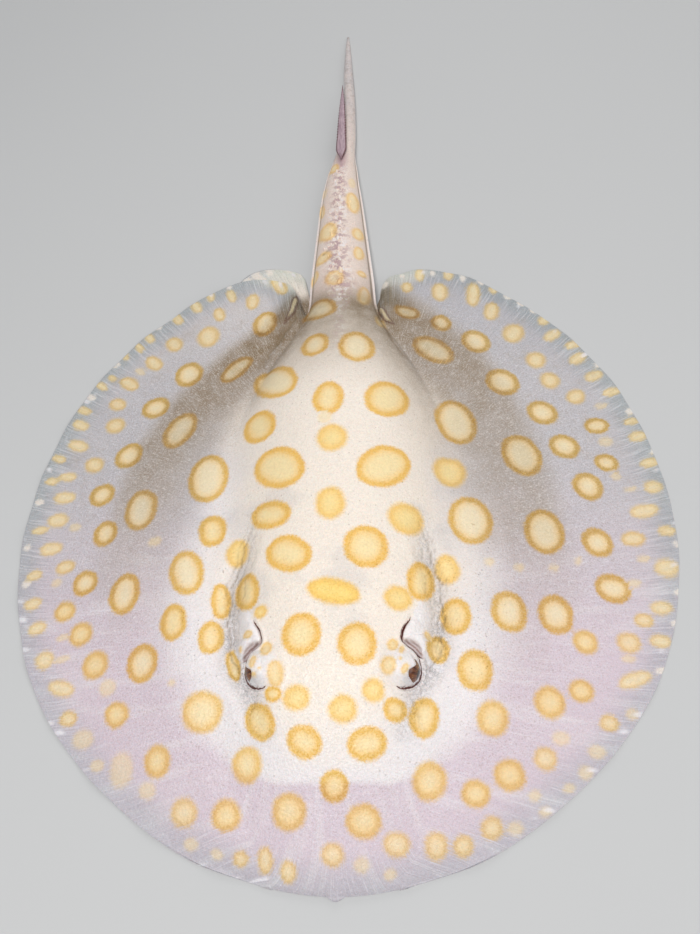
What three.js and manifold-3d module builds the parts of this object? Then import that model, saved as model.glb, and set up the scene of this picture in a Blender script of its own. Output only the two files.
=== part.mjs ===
// A young freshwater stingray, life size, lying at rest on its belly.
//
// Millimetres, +Z up. The head looks along -Y, the tail runs along +Y, and the animal's left
// side is +X. The origin is on the floor, under the middle of the belly.
//
// Head, trunk and tail are lengths of one body, whose sections follow the profiles below. Each
// pectoral fin fans out from the side of that body to the margin of the disc, and the pelvic
// fins fan out under its rear corners. Eyes and sting are pieces of their own.

import * as THREE from 'three';
import { mergeVertices } from 'three/addons/utils/BufferGeometryUtils.js';
import Module from 'manifold-3d';

const wasm = await Module();
wasm.setup();

// ---------------------------------------------------------------- driving dimensions

const GAP = 0.3; // left between two pieces that touch

// Lengths along the body.
const SNOUT_Y = -128.7; // where the margin of the head meets the fins
const NECK_Y = -6;
const TAIL_ROOT_Y = 101;
const TAIL_CUTS_Y = [148, 208];
const TAIL_TIP_Y = 314;

// The body's section, by [y, size]. Height is above the floor.
const HALF_WIDTH = [
  [-129, 20], [-118, 25.5], [-105, 31], [-92, 36], [-75, 41], [-50, 43.5], [15, 43.5], [45, 39.5],
  [68, 31], [85, 22.5], [95, 17.5], [101, 15.9], [120, 14.9], [145, 13], [173, 10.7], [195, 8],
  [210, 5.4], [226, 4.2], [255, 3.4], [285, 2.5], [305, 1.5], [314, 0.8],
];
const BACK_HEIGHT = [ // along the midline
  [-129, 1.6], [-122, 5.3], [-112, 9.8], [-100, 15], [-88, 20.4], [-76, 25], [-65, 28], [-50, 30.4],
  [-30, 33], [-5, 34], [25, 32.6], [55, 28.8], [80, 23.6], [101, 18], [120, 15.4], [145, 12.7],
  [173, 10.4], [195, 8.6], [210, 7.4], [226, 6.2], [255, 5], [285, 3.6], [305, 2.2], [314, 1.3],
];
const SIDE_HEIGHT = [ // where the fins begin, and along the folds of skin beside the tail
  [-129, 1.4], [-120, 4.4], [-108, 8.2], [-92, 12.6], [-75, 16.4], [-55, 18.8], [-30, 19.2], [0, 17.8],
  [30, 15], [60, 11.2], [80, 9.1], [95, 8.1], [101, 7.7], [120, 6.8], [145, 5.7], [173, 4.8],
  [195, 4.1], [210, 3.5], [226, 3], [255, 2.5], [285, 1.9], [305, 1.3], [314, 0.9],
];
const SIDE_UNDER = [ // the lower edge of the side
  [-129, 0], [52, 0], [74, 0.6], [92, 0.9], [101, 1.6], [112, 4.6], [120, 5.5], [145, 4.7], [173, 3.8],
  [195, 3.1], [210, 2.5], [226, 2], [255, 1.5], [285, 1], [305, 0.5], [314, 0.3],
];
const BACK_ROUNDING = [[-129, 1.2], [-100, 1.4], [-60, 1.6], [0, 1.5], [50, 1.15], [80, 0.8], [101, 0.55]];
const BACK_SQUARENESS = [[-60, 2.4], [40, 2.2], [101, 2]];
const FOLD_SHARE = [[92, 0], [106, 0.07], [200, 0.09], [216, 0]]; // of the half width, thin skin
const SWAY = [ // x of the midline
  [101, 0], [145, -1], [185, -1.6], [205, -0.6], [225, 1.2], [255, 1.4], [285, 0.5], [314, 0.2],
];
const SNOUT_BOW = { reach: 2.2, fadesBy: -110 }; // how far the snout reaches past SNOUT_Y
const SNOUT_KNOB = { reach: 1.4, halfWidth: 3.4, fadesBy: -121 };

// The pectoral fins: the margin from the head round to the inner rear corner.
const MARGIN = [
  [23, -128], [45, -121.5], [62, -112.5], [78, -101], [91, -89.5], [103, -76], [112, -62.5], [119, -47],
  [124.5, -28], [127.4, -8], [127, 12], [124.5, 30], [119.4, 49.5], [113.2, 65], [104, 80.8], [92.6, 96],
  [79.6, 108.2], [65.6, 118.2],
];
const LEFT_CORNER = [[51, 125.4], [37, 128.8], [26.5, 126.6], [19, 121], [16.6, 113], [16.8, 104.5]];
const RIGHT_CORNER = [[50, 125.2], [36, 127], [27, 123.4], [21.5, 115.6], [19.5, 109.5], [18.5, 104.5]];
const EDGE_THICKNESS = 1.3;
const FIN_FALL = [ // [share of the way out, share of the side's height that is left]
  [0, 1], [0.2, 0.85], [0.45, 0.58], [0.7, 0.27], [0.85, 0.1], [0.93, 0.035], [1, 0],
];
const ARCH = { rise: 2, growsBy: 0.25, endsFrom: 0.6, endsBy: 0.8 }; // under each fin, between belly and margin
const PELVIC_ROOM = { height: 3.1, fromY: 54, byY: 74, insideX: 56, outsideX: 76 }; // under the rear corners
const ROOT_UNDER_SHARE = 0.3; // of the way out, over which the root's underside runs level
const SHOULDER = { x: 52, y: -40, halfWidth: 18, halfLength: 55, rise: 1.8 };
const CORNER_ROLL = { rise: 2.6, leftX: 20.6, rightX: 23, halfWidth: 7, fromY: 92, byY: 106 };

// The head.
const EYE = { x: 22.8, y: -65, z: 22.6, radius: 5.7 };
const EYE_MOUND = { halfWidth: 9.5, rise: 4.2 };
const SPIRACLE = { x: 28, y: -53, z: 24.6, halfLength: 7.8, halfWidth: 3.8, depth: 5, turn: 0.55 };
const TROUGH = { // the furrow between the skull and the fin's muscle
  path: [[30, -8], [32.5, -22], [36, -34], [36.5, -46], [35.5, -60], [29, -71], [23, -84]],
  halfWidth: 7.2, depth: 3.2,
};

// The tail's arms.
const THORNS = {
  from: 112, to: 194, count: 12, length: 4.2, halfWidth: 1.5, rise: 1.4, buried: 1.5, lean: 0.45, lastSize: 0.6,
};
const STING = {
  root: [-1.9, 201, 8.8], length: 61, width: 4.4, thickness: 1.7, roll: -0.16, pitch: -0.028,
  rootShare: 0.72, taper: 2.2, teeth: 12, notch: 0.2, smoothShare: 0.25, toothStep: 0.012,
};

// The underside.
const MOUTH = { y: -80, halfWidth: 10.5, opening: 2.4, corners: 0.4, bow: 3, depth: 1.8 };
const NOSTRIL = { x: 9, y: -90, halfLength: 4, halfWidth: 1.2, depth: 1.6, turn: 0.6 };
const GILL_SLITS = {
  count: 5, first: [34, -58], last: [24, -17], halfLength: 4.6, halfWidth: 0.7, depth: 1.4, turns: [0.25, -0.35],
};
const CLOACA = { y: 88, halfLength: 6, halfWidth: 1.6, depth: 1.6 };

// The pelvic fins: the rim from the front of the root to its rear, and the root's height.
const PELVIC_RIM = [[28, 85], [40, 93], [50, 107], [52.5, 122], [47, 132.5], [38, 136.6], [27, 135.4],
  [19.5, 131], [16.8, 120]];
const PELVIC_ROOT_Y = [80, 103];
const PELVIC_ROOT_HEIGHT = 2.6;
const PELVIC_RIM_HEIGHT = 1.2;
const LEFT_PELVIC_LENGTH = 0.86; // of the right one's, because this one stays under the disc

// How finely the surfaces are divided, along the body and across it.
const HEAD_GRID = [36, 28];
const TRUNK_GRID = [13, 18];
const TAIL_GRIDS = [[5, 12], [6, 12], [10, 8]];
const FIN_GRID = [34, 9];
const PELVIC_GRID = [10, 4];
const COLUMN_CROWDING = 0.8; // 0 spaces the columns evenly, 1 as on a half circle
const BALL_SEGMENTS = [14, 9];
const HOLLOW_SEGMENTS = [12, 8];

// ---------------------------------------------------------------- curves and bumps

// The smooth curve through rows of [place, value], read at one place.
function profile(rows, at) {
  const last = rows.length - 1;
  if (at <= rows[0][0]) return rows[0][1];
  if (at >= rows[last][0]) return rows[last][1];
  let i = 0;
  while (at > rows[i + 1][0]) i += 1;
  const slope = (a, b) => (rows[b][1] - rows[a][1]) / (rows[b][0] - rows[a][0]);
  const span = rows[i + 1][0] - rows[i][0];
  const leaving = slope(Math.max(i - 1, 0), i + 1) * span;
  const arriving = slope(i, Math.min(i + 2, last)) * span;
  const t = (at - rows[i][0]) / span;
  const turn = t * t * (3 - 2 * t);
  return rows[i][1] * (1 - turn) + rows[i + 1][1] * turn
    + leaving * t * (1 - t) ** 2 - arriving * t * t * (1 - t);
}

const lerp = THREE.MathUtils.lerp;
const clamp = THREE.MathUtils.clamp;

// Rises smoothly from 0 at a to 1 at b.
function step(a, b, at) {
  const t = clamp((at - a) / (b - a), 0, 1);
  return t * t * (3 - 2 * t);
}

// A soft bump, 1 in the middle and 0 from one half width outwards.
function bump(distance, halfWidth) {
  const t = Math.min(Math.abs(distance) / halfWidth, 1);
  return (1 - t * t) ** 2;
}

// How far a point is from a chain of straight stretches, and how far along the chain, from 0 to 1.
function besideChain(chain, x, y) {
  let nearest = { distance: Infinity, along: 0 };
  for (let i = 0; i < chain.length - 1; i += 1) {
    const [ax, ay] = chain[i];
    const [dx, dy] = [chain[i + 1][0] - ax, chain[i + 1][1] - ay];
    const t = clamp(((x - ax) * dx + (y - ay) * dy) / (dx * dx + dy * dy), 0, 1);
    const distance = Math.hypot(x - ax - t * dx, y - ay - t * dy);
    if (distance < nearest.distance) nearest = { distance, along: (i + t) / (chain.length - 1) };
  }
  return nearest;
}

// ---------------------------------------------------------------- solids

// A closed solid from a three.js geometry.
function solidOf(geometry) {
  const bare = geometry.clone();
  bare.deleteAttribute('normal');
  bare.deleteAttribute('uv');
  const merged = mergeVertices(bare, 1e-4);
  return new wasm.Manifold(new wasm.Mesh({
    numProp: 3,
    vertProperties: new Float32Array(merged.attributes.position.array),
    triVerts: new Uint32Array(merged.index.array),
  }));
}

// An upright block over an outline, from one height to another.
function block(outline, low, high) {
  const shape = new THREE.Shape(outline.map(([x, y]) => new THREE.Vector2(x, y)));
  const geometry = new THREE.ExtrudeGeometry(shape, { depth: high - low, bevelEnabled: false, steps: 1 });
  return solidOf(geometry.translate(0, 0, low));
}

// A closed slab with a grid above, four walls, and below the same grid or one flat face.
// place(v, u) gives [x, y, top, bottom], with v from 0 to 1 along the body and u from 0 to 1
// across it, +X last.
function slab([rows, columns], isFlatBelow, place) {
  const plane = new THREE.PlaneGeometry(1, 1, columns, rows);
  const count = (rows + 1) * (columns + 1);
  const above = [];
  const below = [];
  for (let i = 0; i < count; i += 1) {
    const [x, y, top, bottom] = place(Math.floor(i / (columns + 1)) / rows, (i % (columns + 1)) / columns);
    above.push(x, y, top);
    below.push(x, y, bottom);
  }

  // The outline of the grid, seen from above, runs clockwise.
  const at = (row, column) => row * (columns + 1) + column;
  const outline = [];
  for (let row = 0; row < rows; row += 1) outline.push(at(row, 0));
  for (let column = 0; column < columns; column += 1) outline.push(at(rows, column));
  for (let row = rows; row > 0; row -= 1) outline.push(at(row, columns));
  for (let column = columns; column > 0; column -= 1) outline.push(at(0, column));

  const grid = plane.index.array;
  const faces = [];
  for (let i = 0; i < grid.length; i += 3) {
    faces.push(grid[i], grid[i + 2], grid[i + 1]);
    if (!isFlatBelow) faces.push(count + grid[i], count + grid[i + 1], count + grid[i + 2]);
  }
  if (isFlatBelow) {
    const rim = outline.map((i) => new THREE.Vector2(below[3 * i], below[3 * i + 1]));
    for (const [a, b, c] of THREE.ShapeUtils.triangulateShape(rim, [])) {
      faces.push(count + outline[a], count + outline[c], count + outline[b]);
    }
  }
  outline.forEach((a, i) => {
    const b = outline[(i + 1) % outline.length];
    faces.push(a, b, count + a, b, count + b, count + a);
  });
  const geometry = new THREE.BufferGeometry();
  geometry.setAttribute('position', new THREE.Float32BufferAttribute([...above, ...below], 3));
  geometry.setIndex(faces);
  return solidOf(geometry);
}

// ---------------------------------------------------------------- head, trunk and tail

// The mounds over the eyes and the furrows outside them.
function headRelief(x, y) {
  const side = Math.abs(x);
  const mound = EYE_MOUND.rise * bump(Math.hypot(side - EYE.x, y - EYE.y), EYE_MOUND.halfWidth);
  const furrow = besideChain(TROUGH.path, side, y);
  const trough = TROUGH.depth * bump(furrow.distance, TROUGH.halfWidth) * Math.sin(Math.PI * furrow.along);
  return mound - trough;
}

// The fin's muscle beside the head.
function shoulderRise(x, y) {
  return SHOULDER.rise * bump(Math.abs(x) - SHOULDER.x, SHOULDER.halfWidth)
    * bump(y - SHOULDER.y, SHOULDER.halfLength);
}

// A point of the body: y along it, and t across it from -1 to 1.
function bodyPlace(y, t) {
  const halfWidth = profile(HALF_WIDTH, y);
  const across = Math.abs(t);
  const x = profile(SWAY, y) + halfWidth * t;
  const bow = SNOUT_BOW.reach * (1 - t * t) * (1 - step(SNOUT_Y, SNOUT_BOW.fadesBy, y));
  const knob = SNOUT_KNOB.reach * bump(x, SNOUT_KNOB.halfWidth) * (1 - step(SNOUT_Y, SNOUT_KNOB.fadesBy, y));
  const round = Math.min(across / (1 - profile(FOLD_SHARE, y)), 1);
  const fall = (1 - round ** profile(BACK_SQUARENESS, y)) ** profile(BACK_ROUNDING, y);
  const side = profile(SIDE_HEIGHT, y);
  const top = side + (profile(BACK_HEIGHT, y) - side) * fall + headRelief(x, y) + shoulderRise(x, y);
  const turnUp = 1.05 * (1 - (1 - round ** 3) ** 0.6) - 0.05;
  const bottom = Math.max(profile(SIDE_UNDER, y) * turnUp, 0);
  return [x, y - bow - knob, top, bottom];
}

function bodyLength(fromY, toY, grid, isFlatBelow) {
  return slab(grid, isFlatBelow, (v, u) => {
    // Columns lie closer together towards the sides, where the section turns over.
    const quarter = 0.5 * Math.PI * COLUMN_CROWDING;
    const t = Math.sin((2 * u - 1) * quarter) / Math.sin(quarter);
    return bodyPlace(lerp(fromY, toY, v), t);
  });
}

// ---------------------------------------------------------------- the fins

function marginCurve(points) {
  return new THREE.SplineCurve(points.map(([x, y]) => new THREE.Vector2(x, y)));
}

// How far the rear corners of the pectoral fins are lifted by the pelvic fins under them.
function cornerLift(x, y) {
  const behind = step(PELVIC_ROOM.fromY, PELVIC_ROOM.byY, y);
  return PELVIC_ROOM.height * behind * (1 - step(PELVIC_ROOM.insideX, PELVIC_ROOM.outsideX, Math.abs(x)));
}

// The inner edge of each rear corner, rolled up beside the tail.
function cornerRoll(x, y) {
  const ridge = x > 0 ? CORNER_ROLL.leftX : CORNER_ROLL.rightX;
  return CORNER_ROLL.rise * bump(Math.abs(x) - ridge, CORNER_ROLL.halfWidth)
    * step(CORNER_ROLL.fromY, CORNER_ROLL.byY, y);
}

function pectoralFin(side) {
  const margin = marginCurve([...MARGIN, ...(side > 0 ? LEFT_CORNER : RIGHT_CORNER)]);
  return slab(FIN_GRID, false, (v, u) => {
    const out = side > 0 ? u : 1 - u;
    const rootY = lerp(SNOUT_Y, TAIL_ROOT_Y, v);
    const rootX = profile(HALF_WIDTH, rootY) + GAP;
    const rim = margin.getPointAt(v);
    const x = side * lerp(rootX, rim.x, out);
    const y = lerp(rootY, rim.y, out);
    const lift = cornerLift(x, y);
    const rise = profile(SIDE_HEIGHT, rootY) - EDGE_THICKNESS - lift;
    const top = EDGE_THICKNESS + lift + rise * profile(FIN_FALL, out) + headRelief(x, y)
      + shoulderRise(x, y) + cornerRoll(x, y);
    const along = step(0, ARCH.growsBy, v) * (1 - step(ARCH.endsFrom, ARCH.endsBy, v));
    const arch = ARCH.rise * Math.sin(Math.PI * out) ** 2 * along;
    const rootUnder = Math.max(profile(SIDE_UNDER, rootY) - lift, 0) * (1 - step(0, ROOT_UNDER_SHARE, out));
    return [x, y, top, lift + rootUnder + arch];
  });
}

function pelvicFin(side) {
  const rim = marginCurve(PELVIC_RIM);
  const length = side > 0 ? LEFT_PELVIC_LENGTH : 1;
  return slab(PELVIC_GRID, true, (v, u) => {
    const out = side > 0 ? u : 1 - u;
    const rootY = lerp(PELVIC_ROOT_Y[0], PELVIC_ROOT_Y[1], v);
    const rootX = profile(HALF_WIDTH, rootY) + 2 * GAP;
    const edge = rim.getPointAt(v);
    const edgeY = PELVIC_ROOT_Y[0] + (edge.y - PELVIC_ROOT_Y[0]) * length;
    const top = lerp(PELVIC_ROOT_HEIGHT, PELVIC_RIM_HEIGHT, step(0, 1, out));
    return [side * lerp(rootX, edge.x, out), lerp(rootY, edgeY, out), top, 0];
  });
}

// ---------------------------------------------------------------- eyes, thorns and sting

function eyeball(side, grow) {
  const ball = new THREE.SphereGeometry(EYE.radius + grow, ...BALL_SEGMENTS);
  return solidOf(ball.translate(side * EYE.x, EYE.y, EYE.z));
}

// The opening behind an eye.
function spiracleCutter(side) {
  const hollow = new THREE.SphereGeometry(1, ...HOLLOW_SEGMENTS);
  hollow.scale(SPIRACLE.halfWidth, SPIRACLE.halfLength, SPIRACLE.depth).rotateZ(side * SPIRACLE.turn);
  return solidOf(hollow.translate(side * SPIRACLE.x, SPIRACLE.y, SPIRACLE.z));
}

// A low thorn on the midline of the tail, leaning back.
function makeThorn(y) {
  const size = lerp(1, THORNS.lastSize, (y - THORNS.from) / (THORNS.to - THORNS.from));
  const height = (THORNS.rise + THORNS.buried) * size;
  const thorn = new THREE.ConeGeometry(THORNS.halfWidth * size, height, 6);
  thorn.rotateX(Math.PI / 2);
  thorn.scale(1, THORNS.length / (2 * THORNS.halfWidth), 1);
  const position = thorn.attributes.position;
  for (let i = 0; i < position.count; i += 1) {
    if (position.getZ(i) > 0) position.setY(i, position.getY(i) + THORNS.lean * THORNS.length * size);
  }
  const middle = profile(BACK_HEIGHT, y) + 0.5 * (THORNS.rise - THORNS.buried) * size;
  return solidOf(thorn.translate(profile(SWAY, y), y, middle));
}

// The sting: a flat blade with small teeth, lying back along the tail. grow widens it all round.
function makeSting(grow) {
  const half = (t) => 0.5 * STING.width * Math.min(1, STING.rootShare + 2 * t) * (1 - t ** STING.taper);
  const side = [];
  for (let i = 0; i <= STING.teeth; i += 1) {
    const t = i / (STING.teeth + 1);
    const notch = t > STING.smoothShare ? STING.notch : 0;
    side.push([half(t) + grow, t * STING.length]);
    side.push([half(t) * (1 - notch) + grow, (t + STING.toothStep) * STING.length]);
  }
  side[0][1] -= grow;
  const outline = [...side, [0, STING.length + grow], ...side.slice().reverse().map(([x, y]) => [-x, y])];
  const shape = new THREE.Shape(outline.map(([x, y]) => new THREE.Vector2(x, y)));
  const depth = STING.thickness + 2 * grow;
  const blade = new THREE.ExtrudeGeometry(shape, { depth, bevelEnabled: false, steps: 1 });
  blade.translate(0, 0, -0.5 * depth).rotateY(STING.roll).rotateX(STING.pitch);
  return solidOf(blade.translate(...STING.root));
}

// ---------------------------------------------------------------- the underside

// A slot cut up from below the floor, as a long hexagon.
function slot(x, y, halfLength, halfWidth, depth, turn) {
  const outline = [];
  const corners = 6;
  for (let i = 0; i < corners; i += 1) {
    const angle = (2 * Math.PI * i) / corners;
    const [u, v] = [halfLength * Math.cos(angle), halfWidth * Math.sin(angle)];
    outline.push([x + u * Math.cos(turn) - v * Math.sin(turn), y + u * Math.sin(turn) + v * Math.cos(turn)]);
  }
  return block(outline, -1, depth);
}

function mouthCutter() {
  const upper = [];
  const lower = [];
  const steps = 4;
  for (let i = -steps; i <= steps; i += 1) {
    const x = (MOUTH.halfWidth * i) / steps;
    const swell = Math.cos((Math.PI * x) / (2 * MOUTH.halfWidth));
    const half = 0.5 * lerp(MOUTH.corners, MOUTH.opening, swell);
    upper.push([x, MOUTH.y + MOUTH.bow * swell + half]);
    lower.push([x, MOUTH.y + MOUTH.bow * swell - half]);
  }
  return block([...lower, ...upper.reverse()], -1, MOUTH.depth);
}

function headCutters() {
  const cutters = [mouthCutter()];
  for (const side of [1, -1]) {
    cutters.push(eyeball(side, GAP));
    cutters.push(spiracleCutter(side));
    cutters.push(slot(side * NOSTRIL.x, NOSTRIL.y, NOSTRIL.halfLength, NOSTRIL.halfWidth, NOSTRIL.depth,
      side * NOSTRIL.turn));
    for (let i = 0; i < GILL_SLITS.count; i += 1) {
      const t = i / (GILL_SLITS.count - 1);
      const x = lerp(GILL_SLITS.first[0], GILL_SLITS.last[0], t);
      const y = lerp(GILL_SLITS.first[1], GILL_SLITS.last[1], t);
      const turn = side * lerp(...GILL_SLITS.turns, t);
      cutters.push(slot(side * x, y, GILL_SLITS.halfLength, GILL_SLITS.halfWidth, GILL_SLITS.depth, turn));
    }
  }
  return cutters;
}

// ---------------------------------------------------------------- the model

const SKIN = { color: 0xf1e7dc, roughness: 0.42, metalness: 0 };
const FIN = { color: 0xe9dde6, roughness: 0.42, metalness: 0 };
const TAIL = { color: 0xeeddd6, roughness: 0.5, metalness: 0 };
const HORN = { color: 0xb79aa8, roughness: 0.45, metalness: 0 };
const EYEBALL = { color: 0x4a1d10, roughness: 0.08, metalness: 0 };

const ray = new THREE.Group();

function addNode(name, body, look) {
  const { vertProperties, triVerts } = body.getMesh();
  const geometry = new THREE.BufferGeometry();
  geometry.setAttribute('position', new THREE.Float32BufferAttribute(vertProperties, 3));
  geometry.setIndex([...triVerts]);
  geometry.computeVertexNormals();
  const mesh = new THREE.Mesh(geometry, new THREE.MeshStandardMaterial(look));
  mesh.name = name;
  ray.add(mesh);
}

const cutFrom = (body, cutters) => cutters.reduce((whole, cutter) => whole.subtract(cutter), body);

addNode('head', cutFrom(bodyLength(SNOUT_Y, NECK_Y, HEAD_GRID, true), headCutters()), SKIN);

const cloaca = slot(0, CLOACA.y, CLOACA.halfLength, CLOACA.halfWidth, CLOACA.depth, Math.PI / 2);
addNode('trunk', bodyLength(NECK_Y + GAP, TAIL_ROOT_Y, TRUNK_GRID, false).subtract(cloaca), SKIN);

const stingRoom = makeSting(GAP);
const tailEnds = [TAIL_ROOT_Y, ...TAIL_CUTS_Y, TAIL_TIP_Y];
['tail_base', 'tail_middle', 'tail_tip'].forEach((name, i) => {
  let length = bodyLength(tailEnds[i] + GAP, tailEnds[i + 1], TAIL_GRIDS[i], false);
  for (let k = 0; k < THORNS.count; k += 1) {
    const y = lerp(THORNS.from, THORNS.to, k / (THORNS.count - 1));
    const clear = 1.2 * THORNS.length;
    if (y > tailEnds[i] + clear && y < tailEnds[i + 1] - clear) length = length.add(makeThorn(y));
  }
  addNode(name, length.subtract(stingRoom), TAIL);
});
addNode('sting', makeSting(0), HORN);

for (const [side, name] of [[1, 'left'], [-1, 'right']]) {
  addNode(`pectoral_fin_${name}`, pectoralFin(side), FIN);
  addNode(`pelvic_fin_${name}`, pelvicFin(side), FIN);
  addNode(`eye_${name}`, eyeball(side, 0), EYEBALL);
}

export default ray;
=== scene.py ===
import math

import bmesh
import bpy
import numpy as np
from mathutils import Matrix, Vector, kdtree


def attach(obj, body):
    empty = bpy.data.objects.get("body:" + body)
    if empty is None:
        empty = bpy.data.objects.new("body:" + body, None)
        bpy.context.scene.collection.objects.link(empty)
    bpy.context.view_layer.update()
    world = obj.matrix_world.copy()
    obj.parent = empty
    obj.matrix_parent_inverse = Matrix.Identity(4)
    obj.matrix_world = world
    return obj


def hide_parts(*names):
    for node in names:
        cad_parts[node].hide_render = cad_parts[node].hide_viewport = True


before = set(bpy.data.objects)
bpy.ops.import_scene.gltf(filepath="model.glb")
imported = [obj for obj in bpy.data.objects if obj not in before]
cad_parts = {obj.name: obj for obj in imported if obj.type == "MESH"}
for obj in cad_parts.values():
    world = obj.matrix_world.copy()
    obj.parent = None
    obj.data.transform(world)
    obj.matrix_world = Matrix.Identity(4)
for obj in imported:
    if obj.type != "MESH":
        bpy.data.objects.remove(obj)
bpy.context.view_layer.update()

bl_info = {
    "name": "Freshwater stingray",
    "version": (1, 0, 0),
    "blender": (4, 5, 0),
    "location": "3D View > Sidebar > Stingray",
    "description": "A life-size pearl ray at rest: skin with ring spots, thorns, eyes, sting and studio",
    "category": "Add Mesh",
}

# The animal's sizes are in millimetres, on the same axes as its solids: head towards -Y,
# tail towards +Y, the animal's left side +X, the floor at Z = 0. MM turns them into metres.
MM = 0.001
FLESH_NODES = (
    "head", "trunk", "pectoral_fin_left", "pectoral_fin_right", "pelvic_fin_left",
    "pelvic_fin_right", "tail_base", "tail_middle", "tail_tip",
)

# ---------------------------------------------------------------- the animal's profiles

SNOUT_Y = -128.7
TAIL_ROOT_Y = 101.0
TAIL_TIP_Y = 314.0
HALF_WIDTH = (
    (-129, 20), (-118, 25.5), (-105, 31), (-92, 36), (-75, 41), (-50, 43.5), (15, 43.5),
    (45, 39.5), (68, 31), (85, 22.5), (95, 17.5), (101, 15.9), (120, 14.9), (145, 13),
    (173, 10.7), (195, 8), (210, 5.4), (226, 4.2), (255, 3.4), (285, 2.5), (305, 1.5), (314, 0.8),
)
BACK_HEIGHT = (
    (-129, 1.6), (-122, 5.3), (-112, 9.8), (-100, 15), (-88, 20.4), (-76, 25), (-65, 28),
    (-50, 30.4), (-30, 33), (-5, 34), (25, 32.6), (55, 28.8), (80, 23.6), (101, 18), (120, 15.4),
    (145, 12.7), (173, 10.4), (195, 8.6), (210, 7.4), (226, 6.2), (255, 5), (285, 3.6),
    (305, 2.2), (314, 1.3),
)
SIDE_HEIGHT = (
    (-129, 1.4), (-120, 4.4), (-108, 8.2), (-92, 12.6), (-75, 16.4), (-55, 18.8), (-30, 19.2),
    (0, 17.8), (30, 15), (60, 11.2), (80, 9.1), (95, 8.1), (101, 7.7), (120, 6.8), (145, 5.7),
    (173, 4.8), (195, 4.1), (210, 3.5), (226, 3), (255, 2.5), (285, 1.9), (305, 1.3), (314, 0.9),
)
SIDE_UNDER = (
    (-129, 0), (52, 0), (74, 0.6), (92, 0.9), (101, 1.6), (112, 4.6), (120, 5.5), (145, 4.7),
    (173, 3.8), (195, 3.1), (210, 2.5), (226, 2), (255, 1.5), (285, 1), (305, 0.5), (314, 0.3),
)
BACK_ROUNDING = ((-129, 1.2), (-100, 1.4), (-60, 1.6), (0, 1.5), (50, 1.15), (80, 0.8), (101, 0.55))
BACK_SQUARENESS = ((-60, 2.4), (40, 2.2), (101, 2))
FOLD_SHARE = ((92, 0), (106, 0.07), (200, 0.09), (216, 0))
SWAY = (
    (101, 0), (145, -1), (185, -1.6), (205, -0.6), (225, 1.2), (255, 1.4), (285, 0.5), (314, 0.2),
)
MARGIN = (
    (23, -128), (45, -121.5), (62, -112.5), (78, -101), (91, -89.5), (103, -76), (112, -62.5),
    (119, -47), (124.5, -28), (127.4, -8), (127, 12), (124.5, 30), (119.4, 49.5), (113.2, 65),
    (104, 80.8), (92.6, 96), (79.6, 108.2), (65.6, 118.2),
)
LEFT_CORNER = ((51, 125.4), (37, 128.8), (26.5, 126.6), (19, 121), (16.6, 113), (16.8, 104.5))
RIGHT_CORNER = ((50, 125.2), (36, 127), (27, 123.4), (21.5, 115.6), (19.5, 109.5), (18.5, 104.5))
EDGE_THICKNESS = 1.3
FIN_FALL = ((0, 1), (0.2, 0.85), (0.45, 0.58), (0.7, 0.27), (0.85, 0.1), (0.93, 0.035), (1, 0))
PELVIC_RIM = (
    (28, 85), (40, 93), (50, 107), (52.5, 122), (47, 132.5), (38, 136.6), (27, 135.4),
    (19.5, 131), (16.8, 120),
)
PELVIC_ROOT_Y = (80, 103)
LEFT_PELVIC_LENGTH = 0.86
EYE = Vector((22.8, -65.0, 22.6))
EYE_RADIUS = 5.7
TROUGH = ((30, -8), (32.5, -22), (36, -34), (36.5, -46), (35.5, -60), (29, -71), (23, -84))
STING_ROOT = Vector((-1.9, 201.0, 8.8))
STING_LENGTH = 61.0
STING_WIDTH = 5.4
STING_THICKNESS = 1.7

# How the skin is divided: columns across, rows along. Each spread gives the step at each place.
BODY_COLUMNS = 52
FIN_COLUMNS = 22
DISC_ROWS = 132
TAIL_ROWS = 52
ALL_COLUMNS = 2 * FIN_COLUMNS + BODY_COLUMNS
ALL_ROWS = DISC_ROWS + TAIL_ROWS
BODY_SPREAD = ((0, 0.2, 0.88, 1), (0, 0.3, 0.9, 1))
FIN_SPREAD = ((0, 0.5, 1), (0, 0.58, 1))
ROW_SPREAD = ((0, 18, 60, 132, 172, 184), (SNOUT_Y, -90, -42, TAIL_ROOT_Y, 205, TAIL_TIP_Y))
JOIN_REACH = 4
JOIN_ROUNDS = 14
PELVIC_COLUMNS = 16
PELVIC_ROWS = 30
STING_COLUMNS = 10
STING_ROWS = 168
STING_TEETH = 28

# Prickles are tried at this many places of the skin, and the thinning keeps some of them.
PRICKLES_TRIED = 16000
LARGE_THORNS = 12
SMALL_THORNS = 90
# On the coat's own map each tuft is one patch at its root's place, a little inside the border.
PATCH_SIZE = 0.003
MAP_SHARE = 0.99
MAP_BORDER = 0.004

# The camera is above and before the head, a little to the animal's left: its target, distance,
# lens and sensor in millimetres, and its turns in degrees.
CAMERA_TARGET = Vector((3.3, 26.2, 0))
CAMERA_DISTANCE = 346.4
CAMERA_LENS = 32.762313
CAMERA_SENSOR = 36
CAMERA_PITCH = 30.5
CAMERA_ASIDE = 3.8
CAMERA_ROLL = -0.49
# Each light's name, place and width in metres, and power in watts.
LIGHTS = (
    ("key light", (-0.12, -0.38, 1.0), 0.4, 7.8),
    ("fill light", (0.8, -0.2, 0.6), 0.8, 2.2),
    ("back light", (0.15, 0.9, 0.6), 0.6, 2.2),
)
LIT_PLACE = (0, 0.02, 0)

# ---------------------------------------------------------------- the animal's ring spots

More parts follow.
